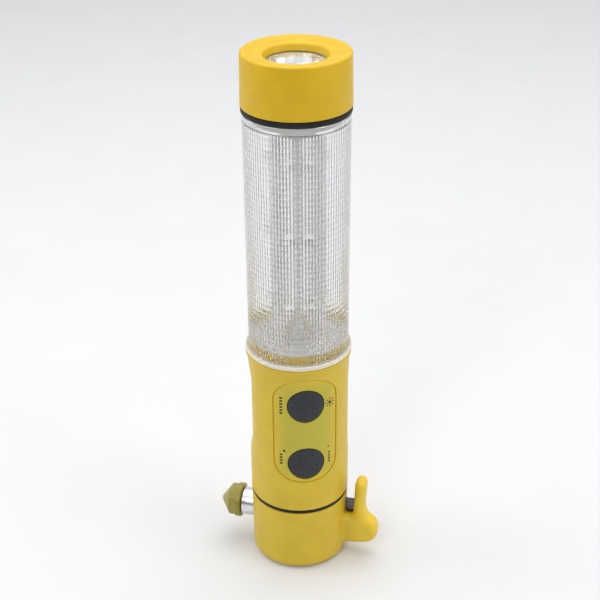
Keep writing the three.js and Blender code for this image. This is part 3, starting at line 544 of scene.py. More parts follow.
def metal(name, colour, roughness, lines=(1, 1, 1), depth=0.002, variation=0.06, matt_from=None):
    """Metal with turned or ground lines, which run along the axes with the smallest numbers in lines.

    Beyond the radius matt_from, if given, the metal is matt.
    """
    n = Nodes(name)
    line_mm, stain_mm, stain_share, matt_roughness = 0.12, 3, 0.82, 0.75
    line = n.noise(line_mm, 2, stretch=lines)
    stained = tuple(part * stain_share for part in colour[:3]) + (1,)
    n.put(Base_Color=n.mix(n.spread(n.noise(stain_mm, 4), 0, 1), colour, stained), Metallic=1.0)
    finish = n.spread(line, max(roughness - variation, 0.02), roughness + variation)
    if matt_from:
        beyond = n.spread(n.radius(), 0, 1, matt_from - 0.1, matt_from + 0.1)
        finish = n.mix(beyond, finish, matt_roughness, "FLOAT")
    n.put(Roughness=finish)
    n.bump((line, depth))
    return n.owner


def soft_translucent(name, colour, shade):
    """Soft translucent plastic, glossy, with light carried through its thin parts."""
    n = Nodes(name)
    cloud_mm, glow_mm = 3, 1.6
    n.put(Base_Color=n.mix(n.spread(n.noise(cloud_mm, 3), 0, 1), colour, shade))
    n.put(Roughness=n.spread(n.noise(1, 3), 0.28, 0.4), IOR=1.52, Transmission_Weight=0.22)
    n.put(Subsurface_Weight=0.5, Subsurface_Scale=glow_mm * MM, Subsurface_Radius=(1.0, 0.85, 0.3))
    n.bump((n.noise(0.9, 2), 0.015), (n.noise(0.2, 2), 0.003))
    return n.owner


def hook_painted_light(n, base):
    """Paints the hook, out along +X, a little lighter than the cup: painted light standing in for light carried
    through its thinner plastic.
    """
    cup_ends, hook_begins = 23, 29
    return n.mix(n.spread(n.axis("X"), 0, 1, cup_ends, hook_begins), base, HOOK_PAINTED_LIGHT_COLOUR)


def film_tint(n, base):
    """Turns the olive film to the shell's yellow along its edges."""
    share = 0.85
    middle, half_height = (PANEL_BOTTOM + PANEL_TOP) / 2, (PANEL_TOP - PANEL_BOTTOM) / 2
    across = n.add("ShaderNodeVectorMath", operation="DOT_PRODUCT")
    across.inputs[1].default_value = (-FRONT[1], FRONT[0], 0)
    n.link(n.position(), across.inputs[0])
    sideways = n.compute("ABSOLUTE", across.outputs["Value"])
    upright = n.compute("ABSOLUTE", n.compute("SUBTRACT", n.axis("Z"), middle))
    near_side = n.spread(sideways, 0, share, 8, 13)
    near_end = n.spread(upright, 0, share, half_height - 8, half_height - 1)
    return n.mix(n.compute("MAXIMUM", near_side, near_end), base, SHELL_COLOUR)


# The hook's colour is painted light: a lighter yellow for light carried through the thin hook.
SHELL_COLOUR, SHELL_SHADE, HOOK_PAINTED_LIGHT_COLOUR = srgb(215, 184, 46), srgb(207, 176, 41), srgb(227, 193, 51)
FINISHES = {
    "shell_yellow": moulded_plastic("shell yellow", SHELL_COLOUR, SHELL_SHADE, 0.42),
    "panel_yellow": moulded_plastic(
        "panel film", srgb(189, 178, 59), srgb(184, 172, 54), 0.45, 0.12, 0.003, film_tint),
    "button_rubber": rubber("button rubber", srgb(45, 47, 52), srgb(53, 55, 60), 0.6),
    "seal_rubber": rubber("seal rubber", srgb(15, 15, 18), srgb(22, 22, 25), 0.55, 0.3, 0.006),
    "soft_cover": soft_translucent("soft cover", srgb(172, 160, 66), srgb(160, 150, 58)),
    "clear_tube": ribbed_tube_plastic("clear tube"),
    "clear_lens": clear_plastic("clear lens", roughness=0.0, ior=ACRYLIC_IOR),
    "led_clear": clear_plastic("led resin", (0.97, 0.97, 0.95, 1), 0.05),
    "reflector_chrome": metal(
        "mirror chrome", (0.93, 0.94, 0.95, 1), 0.05, (1, 1, 1), 0.0005, 0.02, REFLECTOR_RIM + 0.1),
    "hammer_steel": metal("polished steel", (0.86, 0.87, 0.89, 1), 0.3, lines=(6, 0.6, 0.6)),
    "blade_steel": metal("blade steel", (0.14, 0.13, 0.14, 1), 0.3, lines=(0.2, 1, 5)),
    "spring_steel": metal("spring steel", (0.62, 0.63, 0.65, 1), 0.25),
    "contact_brass": metal("contact brass", (0.78, 0.58, 0.28, 1), 0.25),
    "white_plastic": moulded_plastic("white plastic", srgb(226, 226, 222), srgb(216, 216, 212), 0.45),
    "black_plastic": moulded_plastic("black plastic", srgb(36, 37, 41), srgb(30, 31, 35), 0.5),
    "circuit_board": moulded_plastic("green board", srgb(28, 104, 56), srgb(22, 90, 48), 0.35, 0.6, 0.01),
    "white_board": tracked_board("white board", srgb(236, 236, 234), srgb(150, 151, 154), 2.5),
    "cell_wrap": moulded_plastic("cell wrap", srgb(38, 74, 138), srgb(30, 62, 122), 0.28, 0.8, 0.004),
    "wire_red": moulded_plastic("red wire", srgb(178, 30, 26), srgb(160, 24, 22), 0.35),
    "wire_black": moulded_plastic("black wire", srgb(30, 30, 32), srgb(24, 24, 26), 0.35),
    "wire_white": moulded_plastic("white wire", srgb(228, 228, 226), srgb(216, 216, 214), 0.35),
}
# The base's tint paints the hook lighter than the cup: painted light.
BASE_YELLOW = moulded_plastic("base yellow", SHELL_COLOUR, SHELL_SHADE, 0.42, tint=hook_painted_light)
HEAD_YELLOW = moulded_plastic(
    "head yellow", srgb(217, 180, 0), srgb(211, 172, 0), 0.42, glow=0.5, glow_mm=2.0)
INK = rubber("printing ink", srgb(52, 50, 34), srgb(62, 60, 42), 0.6, 0.1, 0.002)


def dress_cad_nodes():
    """Gives every carried-over CAD node the finish of its material slot."""
    for entry in frame["record"]["subparts"]:
        materials = frame["nodes"][entry["node"]].data.materials
        materials.clear()
        materials.append(FINISHES[entry["material_slot"]])


# ---- base cap with cutter hook

def base_profile():
    """Section of the base cup: radius against height."""
    foot_fillet, floor, rim_fillet = 3.7, 3.0, 0.35
    return rounded([
        (0, 0, 0), (FOOT_RADIUS, 0, foot_fillet), (BASE_TOP_RADIUS, BASE_TOP, rim_fillet),
        (BASE_BORE, BASE_TOP, 0.3), (BASE_BORE, floor, 1.0), (0, floor, 0),
    ])


def hook_outline():
    """Side view of the cutter hook, from its root in the wall round the lobe to the finger and slot."""
    root, bottom_at_root, bottom_at_lobe, slot_floor, slot_end = 19.0, 4.9, 6.0, 20.8, 25.2
    lobe_start, lobe, lobe_height, shoulder, shoulder_height = 28.5, 36.3, 12.6, 32.4, 19.4
    waist, waist_height, finger_centre, finger_radius = 30.3, 26.6, 28.4, 2.5
    arc_height = top_of("base_cap") - finger_radius
    finger_outer, finger_inner = finger_centre + finger_radius, finger_centre - finger_radius
    curves = [
        np.array([[root, bottom_at_root], [lobe_start, bottom_at_lobe]]),
        bezier((lobe_start, bottom_at_lobe), (lobe_start + 5, bottom_at_lobe + 0.6),
               (lobe, lobe_height - 4), (lobe, lobe_height)),
        bezier((lobe, lobe_height), (lobe, lobe_height + 3.6),
               (shoulder + 2.2, shoulder_height - 1.4), (shoulder, shoulder_height)),
        bezier((shoulder, shoulder_height), (shoulder - 1.5, shoulder_height + 1.1),
               (waist, waist_height - 3.2), (waist, waist_height)),
        bezier((waist, waist_height), (waist, waist_height + 3.2),
               (finger_outer, arc_height - 4), (finger_outer, arc_height)),
    ]
    angles = np.radians(np.linspace(15, 180, 12))
    curves.append(np.stack([finger_centre + finger_radius * np.cos(angles),
                            arc_height + finger_radius * np.sin(angles)], -1))
    curves.append(rounded([
        (finger_inner, arc_height - 1, 0), (slot_end, slot_floor, 1.9), (root, slot_floor, 0)]))
    return np.concatenate(curves)


def hook_field(points, outline, thickness=9.0, rounding=2.9):
    """Distance to the hook: its outline pushed sideways, with both faces well rounded."""
    side = outline_distance(points[:, [0, 2]], outline) + rounding
    face = np.abs(points[:, 1]) - (thickness / 2 - rounding)
    outer = np.sqrt(np.maximum(side, 0) ** 2 + np.maximum(face, 0) ** 2)
    return np.minimum(np.maximum(side, face), 0) + outer - rounding


def base_field(profile, outline):
    """Distance to the base cap: cup and hook, less the hammer's two bores and the blade's slit."""
    hook_begins, fillet = 17, 1.8  # the fillet is where the hook grows out of the wall
    counterbore_radius, counterbore_depth, shank_radius, shank_depth = 6.5, 20.0, 4.3, 17.0
    gap, slit_half_width = 0.3, 0.5
    blade_low, blade_high = mm_box("cutter_blade")

    def field(points):
        x, y, z = points.T
        radius = np.hypot(x, y)
        value = outline_distance(np.stack([radius, z], -1), profile)
        near = x > hook_begins
        hook = np.maximum(hook_field(points[near], outline), BASE_BORE + gap - radius[near])
        value[near] = smooth_union(value[near], hook, fillet)
        from_hammer = np.hypot(y, z - HAMMER_HEIGHT)
        counterbore = np.maximum(from_hammer - counterbore_radius, x + counterbore_depth)
        shank_hole = np.maximum(from_hammer - shank_radius, x + shank_depth)
        slit = np.maximum.reduce([
            np.abs(y) - slit_half_width, blade_low[0] - gap - x, x - blade_high[0] - gap,
            blade_low[2] - gap - z, z - blade_high[2] - gap])
        return np.maximum.reduce([value, -counterbore, -shank_hole, -slit])
    return field


def build_base():
    low, high = mm_box("base_cap")
    margin = 1.5
    step = 0.45
    field = base_field(base_profile(), hook_outline())
    points, faces = surface_net(field, low - margin, high + margin, step)
    add_piece("base_cap_shell", points, faces, "base", "shell_yellow", "base_cap", BASE_YELLOW, 60)


# ---- seals

def build_seal(node, inner):
    """O-ring with its faces pressed a little flat between the two parts that it seals."""
    outer, bottom, top = radius_of(node), bottom_of(node), top_of(node)
    fillet = 0.7 * (top - bottom) / 2
    section = rounded([(inner, bottom, fillet), (outer, bottom, fillet),
                       (outer, top, fillet), (inner, top, fillet)], closed=True, steps=6)
    add_turned(f"{node}_ring", section, node, "seal_rubber", node)


# ---- handle shell

def thread(radius, height, azimuth, bottom, top, depth):
    """Radius of a round wall that carries a right-handed thread ridge between two heights."""
    fade = 0.6  # height over which the ridge grows from nothing at either end
    turn = (height / THREAD_PITCH - azimuth / (2 * math.pi)) % 1
    ridge = np.clip(1.7 - 4.5 * np.abs(turn - 0.5), 0, 1)
    ends = np.clip((height - bottom) / fade, 0, 1) * np.clip((top - height) / fade, 0, 1)
    return radius + depth * ridge * ends


def panel_distance(across, height):
    """Signed distance to the switch panel's outline: arc length across the front, and height."""
    half_width, end = 14.6, 11.0  # the ends are half ellipses, the lower one a little squarer
    middle, half_height = (PANEL_BOTTOM + PANEL_TOP) / 2, (PANEL_TOP - PANEL_BOTTOM) / 2
    power = np.where(height > middle, 2.0, 2.3)
    side = np.abs(across) / half_width
    rise = np.maximum(np.abs(height - middle) - (half_height - end), 0) / end
    value = side ** power + rise ** power - 1
    slope = power * np.hypot(side ** (power - 1) / half_width, rise ** (power - 1) / end)
    return value / np.maximum(slope, 0.06)


def ease(value, start, end):
    """Smooth step from 0 at start to 1 at end."""
    share = np.clip((value - start) / (end - start), 0, 1)
    return share * share * (3 - 2 * share)


def scoop_depth(azimuth, height):
    """How far the finger scoops at both rear sides dip below the round handle."""
    depth, centre, half_width = 1.5, math.radians(110), math.radians(48)
    start, full, full_end, end = 52, 63, 89, 99  # heights
    away = np.clip(np.abs(np.abs(azimuth) - centre) / half_width, 0, 1)
    along = ease(height, start, full) * (1 - ease(height, full_end, end))
    return depth * np.cos(away * math.pi / 2) ** 2 * along


def snap_to_line(across, height, distance, reach):
    """Moves grid points that lie within reach of a distance field's zero line exactly onto it."""
    value = distance(across, height)
    step = 0.01
    slope_x = (distance(across + step, height) - distance(across - step, height)) / (2 * step)
    slope_y = (distance(across, height + step) - distance(across, height - step)) / (2 * step)
    near = np.abs(value) <= reach
    return (np.where(near, across - value * slope_x, across),
            np.where(near, height - value * slope_y, height), near)


def handle_sections():
    """Handle profile below the grip, and above it: flange, upper spigot, deck, bore and lower spigot."""
    lower_edge = rounded([
        (LOWER_SPIGOT_OUTER, HANDLE_BOTTOM - 0.4, 0), (LOWER_SPIGOT_OUTER, HANDLE_BOTTOM, 0),
        (HANDLE_RADIUS, HANDLE_BOTTOM, 0.4), (HANDLE_RADIUS, HANDLE_BOTTOM + 3, 0),
    ])
    deck_bottom, wire_hole = FLANGE_TOP - 2.2, 5.0
    upper = rounded([
        (HANDLE_RADIUS, FLANGE_TOP - 6, 0), (HANDLE_RADIUS + 0.1, FLANGE_TOP - 4.2, 4),
        (FLANGE_RADIUS, FLANGE_TOP - 1.2, 1.5), (FLANGE_RADIUS, FLANGE_TOP, 0.3),
        (UPPER_SPIGOT_OUTER, FLANGE_TOP, 0.3), (UPPER_SPIGOT_OUTER, UPPER_SPIGOT_TOP, 0.4),
        (UPPER_SPIGOT_INNER, UPPER_SPIGOT_TOP, 0.4), (UPPER_SPIGOT_INNER, FLANGE_TOP, 0.3),
        (wire_hole, FLANGE_TOP, 0.3), (wire_hole, deck_bottom, 0.3), (HANDLE_BORE, deck_bottom, 0.5),
        (HANDLE_BORE, HANDLE_BOTTOM + 2.4, 0.3), (LOWER_SPIGOT_INNER, HANDLE_BOTTOM + 1.4, 0.3),
        (LOWER_SPIGOT_INNER, LOWER_SPIGOT_BOTTOM, 0.3), (LOWER_SPIGOT_OUTER, LOWER_SPIGOT_BOTTOM, 0.5),
    ])
    return lower_edge, upper


def build_handle():
    """Handle with a thread, a grip with two scoops, and openings for the panel and its buttons."""
    columns = 288
    azimuth = np.linspace(-math.pi, math.pi, columns, endpoint=False)
    lower_edge, upper = handle_sections()
    thread_rows = np.arange(LOWER_SPIGOT_BOTTOM + 0.7, HANDLE_BOTTOM - 0.5, 0.2)
    thread_depth, thread_end, grip_step = 0.35, thread_rows[-1] - 0.6, 0.8
    spigot_radius = thread(LOWER_SPIGOT_OUTER, thread_rows[:, None], azimuth[None, :],
                           thread_rows[0], thread_end, thread_depth)
    grip_rows = np.arange(HANDLE_BOTTOM + 4, FLANGE_TOP - 6.5, grip_step)
    grip_radius = HANDLE_RADIUS - scoop_depth(azimuth[None, :], grip_rows[:, None])
    points = np.concatenate([
        wall_points(spigot_radius, thread_rows, azimuth), grid_round(lower_edge, azimuth),
        wall_points(grip_radius, grip_rows, azimuth), grid_round(upper, azimuth),
    ])
    rows = len(thread_rows) + len(lower_edge) + len(grip_rows) + len(upper)
    shell = add_piece("handle_shell_skin", to_front(points), ring_faces(rows, columns, True),
                      "handle", "shell_yellow", "handle_shell", sharp_angle=50)
    recess_points, recess_faces = sheet_mesh(panel_distance, 0.6, HANDLE_RADIUS + 1, PANEL_FLOOR)
    cut_away(shell, to_front(recess_points), recess_faces)
    hole_start, hole_end = 15, 26
    hole = np.array([(0, hole_start), (BUTTON_HOLE, hole_start), (BUTTON_HOLE, hole_end), (0, hole_end)])
    for centre in BUTTON_HEIGHTS.values():
        points, faces = revolve(hole, 96)
        points = np.stack([points[:, 2], points[:, 1], points[:, 0] + centre], -1)
        cut_away(shell, to_front(points), [face[::-1] for face in faces])


def cut_away(piece, points, faces):
    """Takes a closed shape out of a piece for good."""
    mesh = new_mesh("cutter", points * MM, faces)
    mesh.shade_smooth()
    cutter = new_object("cutter", mesh)
    modifier = piece.modifiers.new("cut", "BOOLEAN")
    modifier.operation, modifier.solver, modifier.object = "DIFFERENCE", "EXACT", cutter
    bpy.context.view_layer.update()
    depsgraph = bpy.context.evaluated_depsgraph_get()
    mesh = bpy.data.meshes.new_from_object(piece.evaluated_get(depsgraph))
    piece.modifiers.clear()
    piece.data = mesh
    mesh.set_sharp_from_angle(angle=math.radians(40))
    bpy.data.objects.remove(cutter)


# ---- switch panel

def bend(across, height, radius):
    """Points at a radius over flat places on the panel, bent round the handle's axis."""
    angle = across / PANEL_FACE
    return np.stack([radius * np.cos(angle), radius * np.sin(angle), height], -1)


def sheet_mesh(distance, step, outer, inner, rim=0.0):
    """Bent plate where distance is negative, between two radii; rim rounds its outer edge."""
    half_width, low, high = 15.5, PANEL_BOTTOM - 1, PANEL_TOP + 1
    across, height = np.meshgrid(np.arange(-half_width, half_width + step, step),
                                 np.arange(low, high + step, step))
    across, height, on_line = snap_to_line(across, height, distance, 0.5 * step)
    value = np.where(on_line, 0, distance(across, height)).ravel()
    index = np.arange(across.size).reshape(across.shape)
    quads = np.stack([index[:-1, :-1], index[:-1, 1:], index[1:, 1:], index[1:, :-1]], -1)
    faces = [[v for v in quad if value[v] <= 0] for quad in quads.reshape(-1, 4).tolist()]
    faces = [face for face in faces if len(face) >= 3 and min(value[face]) < 0]
    used = sorted({v for face in faces for v in face})
    number = {old: new for new, old in enumerate(used)}
    faces = [[number[v] for v in face] for face in faces]
    across, height, value = across.ravel()[used], height.ravel()[used], value[used]
    top_radius = outer - rim * np.clip(1 + value / (2 * rim + 1e-9), 0, 1) ** 2
    points = np.concatenate([bend(across, height, top_radius), bend(across, height, inner)])
    count = len(used)
    edges = {(a, b) for face in faces for a, b in zip(face, face[1:] + face[:1])}
    sides = [[b, a, a + count, b + count] for a, b in sorted(edges) if (b, a) not in edges]
    back_faces = [[v + count for v in reversed(face)] for face in faces]
    return points, faces + back_faces + sides


def film_distance(across, height):
    """Distance to the panel film: inside the recess's outline and round the two buttons."""
    gap = 0.24
    value = panel_distance(across, height) + gap
    flat = PANEL_FACE * np.sin(across / PANEL_FACE)
    for centre in BUTTON_HEIGHTS.values():
        value = np.maximum(value, BUTTON_HOLE - np.hypot(flat, height - centre))
    return value


def build_panel():
    """Film that fills the recess, a hair above its floor and with a rounded edge."""
    step = 0.3
    lift, rim = 0.03, 0.1
    points, faces = sheet_mesh(film_distance, step, PANEL_FACE, PANEL_FLOOR + lift, rim)
    add_piece("switch_overlay_film", to_front(points), faces, "handle", "panel_yellow",
              "switch_overlay", sharp_angle=50)


def disc(across, height, radius, sides=20):
    """Round dot centred at a place on the panel."""
    angles = full_turn(sides)
    return np.stack([across + radius * np.cos(angles), height + radius * np.sin(angles)], -1)


def bar(across, height, length, width, turn=0.0):
    """Straight bar centred at a place on the panel, its length turned from the upright."""
    corners = np.array([(-width, -length), (width, -length), (width, length), (-width, length)]) / 2
    cos, sin = math.cos(turn), math.sin(turn)
    return corners @ np.array([[cos, sin], [-sin, cos]]) + [across, height]


def build_printing():
    """Generic symbols printed on the film: a lamp, marker dots and rows of dashes."""
    light, strobe = BUTTON_HEIGHTS["light_button"], BUTTON_HEIGHTS["strobe_button"]
    lamp_across, lamp_height, ray_radius = 10.9, light - 0.2, 1.75
    dash_pitch, dash_length, wide, narrow = 1.5, 0.85, 1.3, 1.0
    shapes = [disc(lamp_across, lamp_height, 0.75), disc(-9.6, strobe + 6.4, 0.6),
              disc(10.2, strobe + 6.7, 0.45)]
    for ray in range(8):
        turn = ray * math.pi / 4
        across = lamp_across - ray_radius * math.sin(turn)
        shapes.append(bar(across, lamp_height + ray_radius * math.cos(turn), 1.1, 0.42, turn))
    for across, lowest, count, width in ((-10.8, light - 3.6, 6, wide), (-11.0, strobe - 0.2, 4, wide),
                                         (10.6, strobe - 1.0, 4, narrow)):
        for dash in range(count):
            shapes.append(bar(across, lowest + dash_pitch * dash, dash_length, width))
    ink_top, ink_bottom = PANEL_FACE + 0.03, PANEL_FACE - 0.05
    points, faces = [], []
    for shape in shapes:
        start, count = len(points), len(shape)
        for radius in (ink_top, ink_bottom):
            points.extend(bend(*shape.T, radius))
        faces.append([start + i for i in range(count)])
        faces.append([start + count + i for i in reversed(range(count))])
        for i in range(count):
            after = (i + 1) % count
            faces.append([start + after, start + i, start + count + i, start + count + after])
    add_piece("switch_overlay_printing", to_front(points), faces, "handle", "panel_yellow", finish=INK)


def build_button(name):
    """Domed rubber button whose face follows the round handle, with its skirt and flange."""
    columns = 96
    face_depth, dome, rim = 21.45, 0.55, 0.9
    flange_radius, flange_front, flange_back = 8.5, 16.9, 16.05
    hollow_radius, hollow_end, stem_radius, stem_end = 6.2, 19.6, 1.7, 19.05
    angle = full_turn(columns)

    def ring(radius, depth):
        """One ring of points at a depth from the handle's axis: one number, or one per column."""
        depths = np.broadcast_to(depth, columns)
        return np.stack([depths, radius * np.cos(angle), radius * np.sin(angle)], -1)

    def domed(radius):
        follows_handle = np.sqrt(face_depth ** 2 - (radius * np.cos(angle)) ** 2)
        return follows_handle + dome * (1 - (radius / BUTTON_RADIUS) ** 2)

    rows = [ring(radius, domed(radius)) for radius in np.linspace(0.6, BUTTON_RADIUS - rim, 16)]
    for turn in np.radians(np.linspace(15, 90, 6)):
        radius = BUTTON_RADIUS - rim + rim * math.sin(turn)
        rows.append(ring(radius, domed(radius) - rim * (1 - math.cos(turn))))
    rows += [ring(radius, depth) for radius, depth in (
        (BUTTON_RADIUS, flange_front), (flange_radius, flange_front), (flange_radius, flange_back),
        (hollow_radius, flange_back), (hollow_radius, hollow_end), (stem_radius, hollow_end),
        (stem_radius, stem_end))]
    faces = [face[::-1] for face in capped_faces(len(rows), columns)]
    points = np.vstack(rows + [[face_depth + dome, 0, 0], [stem_end, 0, 0]])
    points = to_front(points + [0, 0, BUTTON_HEIGHTS[name]])
    add_piece(f"{name}_cap", points, faces, name, "button_rubber", name)


# ---- clear tube

def build_tube():
    """Clear tube: smooth outside, and inside fine upright flutes crossed by level ones."""
    flutes, per_flute, level_pitch, rows_per_pitch = 96, 4, 2.4, 4
    flute_depth, level_depth, rib_clearance = 0.30, 0.12, 0.3
    neck_thread_radius, neck_thread_depth = NECK_OUTER - 0.3, 0.3
    columns = flutes * per_flute
    angle = full_turn(columns)
    flute_wave = np.abs(((np.arange(columns) / per_flute) % 1) * 2 - 1)
    collar, collar_inner = 3.9, 18.5  # plain, slightly thicker band below the shoulder
    ribs_bottom, ribs_top = TUBE_FLANGE_TOP - 0.6, TUBE_SHOULDER - collar
    outside = rounded([
        (TUBE_LOW_RADIUS - TUBE_WALL + 0.4, TUBE_BOTTOM, 0.2), (FLANGE_RADIUS, TUBE_BOTTOM, 0.4),
        (FLANGE_RADIUS, TUBE_FLANGE_TOP, 0.6), (TUBE_LOW_RADIUS, TUBE_FLANGE_TOP, 0.3),
        (TUBE_HIGH_RADIUS, TUBE_SHOULDER, 0.3), (NECK_OUTER, TUBE_SHOULDER, 0.3),
        (NECK_OUTER, TUBE_SHOULDER + 2.6, 0),
    ], steps=4)
    neck_rows = np.arange(TUBE_SHOULDER + 3, NECK_TOP - 1, 0.25)
    neck_radius = thread(neck_thread_radius, neck_rows[:, None], angle[None, :],
                         neck_rows[0], neck_rows[-1], neck_thread_depth)
    inside = rounded([
        (NECK_OUTER, NECK_TOP - 0.9, 0), (NECK_OUTER, NECK_TOP, 0.3), (NECK_INNER, NECK_TOP, 0.3),
        (NECK_INNER, TUBE_SHOULDER + 0.7, 0.2), (collar_inner, TUBE_SHOULDER + 0.4, 0.2),
        (collar_inner, ribs_top + 0.5, 0.2), (TUBE_HIGH_RADIUS - TUBE_WALL - 0.2, ribs_top + 0.3, 0),
    ])
    levels = np.arange(ribs_top, ribs_bottom, -level_pitch / rows_per_pitch)
    level_wave = np.abs(((np.arange(len(levels)) / rows_per_pitch) % 1) * 2 - 1)
    share = (levels - TUBE_BOTTOM) / (TUBE_SHOULDER - TUBE_BOTTOM)
    outer_radius = TUBE_LOW_RADIUS + (TUBE_HIGH_RADIUS - TUBE_LOW_RADIUS) * share
    wall_radius = outer_radius - TUBE_WALL + rib_clearance
    rib_radius = wall_radius[:, None] - flute_depth * flute_wave - level_depth * level_wave[:, None]
    rows = len(outside) + len(neck_rows) + len(inside) + len(levels)
    points = np.concatenate([grid_round(outside, angle), wall_points(neck_radius, neck_rows, angle),
                             grid_round(inside, angle), wall_points(rib_radius, levels, angle)])
    add_piece("strobe_tube_clear", to_front(points), ring_faces(rows, columns, True), "handle",
              "clear_tube", "strobe_tube", sharp_angle=22)


# ---- torch head

def build_head():
    """Torch head: slightly tapered cap, dished on top, with a funnel down to the lens."""
    lip, throat, lens_pocket, bore = 13.1, 11.6, 15.1, 19.7
    low_radius, high_radius, dish_start, dish_end = 22.0, 21.6, 19.6, 17.2
    pocket_top, bore_top = top_of("torch_lens") + 0.05, 225.5
    section = rounded([
        (bore, HEAD_BOTTOM, 0.3), (low_radius, HEAD_BOTTOM, 0.35), (high_radius, HEAD_TOP, 2.0),
        (dish_start, HEAD_TOP, 0.9), (dish_end, HEAD_TOP - 0.95, 1.2), (lip, HEAD_TOP - 1.25, 1.3),
        (throat, pocket_top, 0.15), (lens_pocket, pocket_top, 0), (lens_pocket, bore_top, 0),
        (bore, bore_top, 0.3),
    ], closed=True, steps=6)
    add_turned("head_cap_shell", section, "head", "shell_yellow", "head_cap", HEAD_YELLOW)


def build_reflector():
    """Mirror cup pressed in flat upright sectors, with a plain rim."""
    sectors, per_sector = 20, 4
    columns = sectors * per_sector
    angle = full_turn(columns)
    across = ((np.arange(columns) / per_sector) % 1 - 0.5) * 2 * math.pi / sectors
    flat = math.cos(math.pi / sectors) / np.cos(across)
    throat, wall, flange = 4.0, 0.8, 14.8
    bottom, top = 213.2, bottom_of("torch_lens") - 0.8
    flange_top, flange_bottom = top + 0.7, top - 0.2
    heights = np.linspace(bottom, top, 18)
    share = (heights - bottom) / (top - bottom)
    parabola = np.sqrt(throat ** 2 + (REFLECTOR_RIM ** 2 - throat ** 2) * share)
    cup = wall_points(parabola[:, None] * flat, heights, angle)
    outline = [(REFLECTOR_RIM + 0.2, flange_top), (flange, flange_top), (flange, flange_bottom),
               (REFLECTOR_RIM + 1.0, flange_bottom)]
    outline += [(r + wall, z - wall / 2) for r, z in zip(parabola[::-1][1:], heights[::-1][1:])]
    points = np.concatenate([cup, grid_round(np.array(outline), angle)])
    faces = ring_faces(len(heights) + len(outline), columns, True)[:, ::-1]
    add_piece("torch_reflector_cup", points, faces, "head", "reflector_chrome", "torch_reflector",
              sharp_angle=12)


def build_lens():
    """Flat round lens."""
    bottom, top, radius = bottom_of("torch_lens"), top_of("torch_lens"), radius_of("torch_lens")
    section = rounded([(0, bottom, 0), (radius, bottom, 0.2), (radius, top, 0.2), (0, top, 0)])
    add_turned("torch_lens_clear", section, "head", "clear_lens", "torch_lens", columns=96)


# ---- hammer and its soft cover

def build_hammer():
    """Steel hammer: shank, collar and point, made upright and laid down along -X."""
    tip = -mm_box("hammer_shaft")[0][0]
    shank, shank_end, collar, collar_start, collar_end = 4.0, 12.5, 6.3, 20.15, 26.5
    point_radius = 4.4
    section = rounded([
        (0, shank_end, 0), (shank, shank_end, 0.4), (shank, collar_start, 0), (collar, collar_start, 0.2),
        (collar, collar_end, 0.4), (point_radius, collar_end, 0.2),
        (point_radius, HAMMER_CONE_START, 0.4), (0.3, tip, 0.25), (0, tip, 0),
    ])
    add_turned("hammer_shaft_steel", section, "base", "hammer_steel", "hammer_shaft",
               columns=96, height=HAMMER_HEIGHT)


def build_cover():
    """Soft cover over the hammer's point: a rim, a waist and a cone open at its end."""
    low, high = mm_box("hammer_tip_cover")
    rear, apex = -high[0], -low[0]
    bore, rim, rim_end, waist, shoulder = 4.7, 7.8, 29.3, 7.15, 7.2
    apex_outer, apex_inner = 1.6, 1.25
    section = rounded([
        (bore, rear, 0.2), (rim, rear, 0.6), (rim, rim_end, 0.5), (waist, rim_end + 0.5, 0.5),
        (shoulder, HAMMER_CONE_START, 0.7), (apex_outer, apex, 0.3), (apex_inner, apex, 0.1),
        (bore, HAMMER_CONE_START, 0.3),
    ], closed=True)
    add_turned("hammer_tip_cover_soft", section, "hammer_cover", "soft_cover", "hammer_tip_cover",
               columns=96, height=HAMMER_HEIGHT)


# ---- stage, light and camera

def build_stage():
    """Pale, faintly clouded floor, with its size in metres."""
    size, cloud_mm = 4.0, 40
    corners = [(-size, -size, 0), (size, -size, 0), (size, size, 0), (-size, size, 0)]
    mesh = new_mesh("floor", corners, [(0, 1, 2, 3)])
    floor = new_object("floor", mesh)
    n = Nodes("pale floor")
    cloud = n.spread(n.noise(cloud_mm, 2), 0, 1)
    n.put(Base_Color=n.mix(cloud, (0.715, 0.72, 0.735, 1), (0.73, 0.735, 0.75, 1)), Roughness=0.75)
    mesh.materials.append(n.owner)


def area_light(name, place, target, size, power):
    """Rectangular lamp at a place, turned towards its target, with lengths in metres."""
    data = bpy.data.lights.new(name, "AREA")
    data.shape, data.size, data.size_y, data.energy = "RECTANGLE", size[0], size[1], power
    light = new_object(name, data)
    light.location = place
    light.rotation_euler = (Vector(target) - Vector(place)).to_track_quat("-Z", "Y").to_euler()


def build_world():
    """Studio surroundings: bright overhead and behind, dim on the camera's side.

    Light that has come through clear plastic meets the same brightness all round.
    """
    camera_side, far_side, overhead, seen_through = 0.06, 0.72, 0.8, 1.0
    n = Nodes("studio", bpy.data.worlds, "Background")
    bpy.context.scene.world = n.owner
    axes = n.add("ShaderNodeSeparateXYZ")
    n.link(n.add("ShaderNodeTexCoord").outputs["Generated"], axes.inputs["Vector"])
    depth = n.spread(axes.outputs["Y"], camera_side, far_side, -0.85, -0.25, "SMOOTHSTEP")
    rise = n.spread(axes.outputs["Z"], 0, overhead, 0.2, 0.7, "SMOOTHSTEP")
    through_plastic = n.add("ShaderNodeLightPath").outputs["Is Transmission Ray"]
    direct = n.compute("MAXIMUM", depth, rise)
    n.put(Color=(1, 1, 1, 1), Strength=n.mix(through_plastic, direct, seen_through, "FLOAT"))


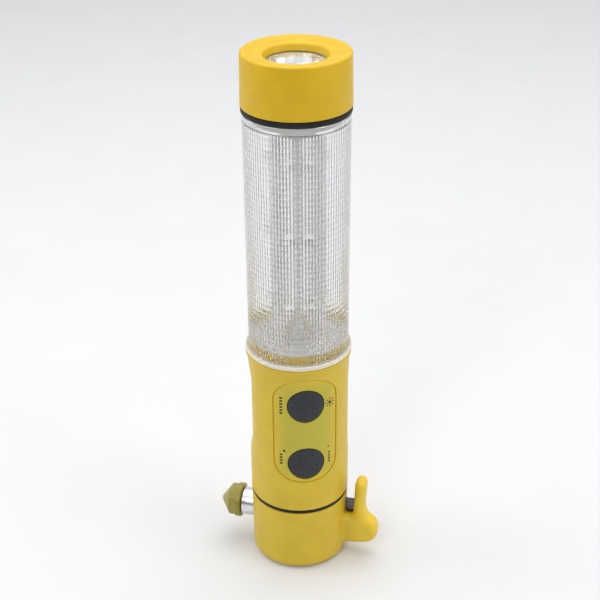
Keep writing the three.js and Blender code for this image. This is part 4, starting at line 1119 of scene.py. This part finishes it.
def build_lights():
    """Large soft lamps overhead and at both sides, and a small fill above the camera."""
    middle = (0, 0, 0.12)
    overhead_power, side_power, fill_power = 4.95, 1.6, 2.4
    area_light("overhead softbox", (0, 0.25, 1.0), (0, 0.2, 0), (0.9, 0.9), overhead_power)
    area_light("left softbox", (-0.8, -0.1, 0.55), middle, (0.5, 0.9), side_power)
    area_light("right softbox", (0.8, -0.1, 0.55), middle, (0.5, 0.9), side_power)
    area_light("front fill", (-0.15, -0.9, 0.75), middle, (0.35, 0.35), fill_power)


def build_camera():
    """Camera at the photograph's viewing angle: above the front, turned towards the hook."""
    distance, height = 465.1, 376.7
    azimuth, yaw = math.radians(14.5), math.radians(0.094)
    pitch, roll = math.radians(28.307), math.radians(-0.462)
    heading = azimuth - yaw
    ahead = Vector((-math.sin(heading) * math.cos(pitch), math.cos(heading) * math.cos(pitch),
                    -math.sin(pitch)))
    level_right = ahead.cross(Vector((0, 0, 1))).normalized()
    level_up = level_right.cross(ahead)
    right = level_right * math.cos(roll) + level_up * math.sin(roll)
    up = level_up * math.cos(roll) - level_right * math.sin(roll)
    place = Vector((math.sin(azimuth) * distance, -math.cos(azimuth) * distance, height)) * MM
    data = bpy.data.cameras.new("camera")
    data.lens, data.sensor_width = 76.0, 36.0
    data.clip_start, data.clip_end = 0.01, 20
    camera = new_object("camera", data)
    camera.matrix_world = Matrix.Translation(place) @ Matrix((right, up, -ahead)).transposed().to_4x4()
    bpy.context.scene.camera = camera


def set_light_paths():
    """Plain colours, and enough bounces for light to cross the many walls of the ribbed tube."""
    scene = bpy.context.scene
    scene.view_settings.view_transform = "Standard"
    scene.cycles.max_bounces = 32
    scene.cycles.transmission_bounces = 32
    scene.cycles.glossy_bounces = 24


dress_cad_nodes()
build_base()
build_seal("base_seal", 19.2)
build_handle()
build_panel()
build_printing()
build_button("light_button")
build_button("strobe_button")
build_tube()
build_seal("head_seal", 19.5)
build_head()
build_reflector()
build_lens()
build_hammer()
build_cover()
build_stage()
build_world()
build_lights()
build_camera()
set_light_paths()
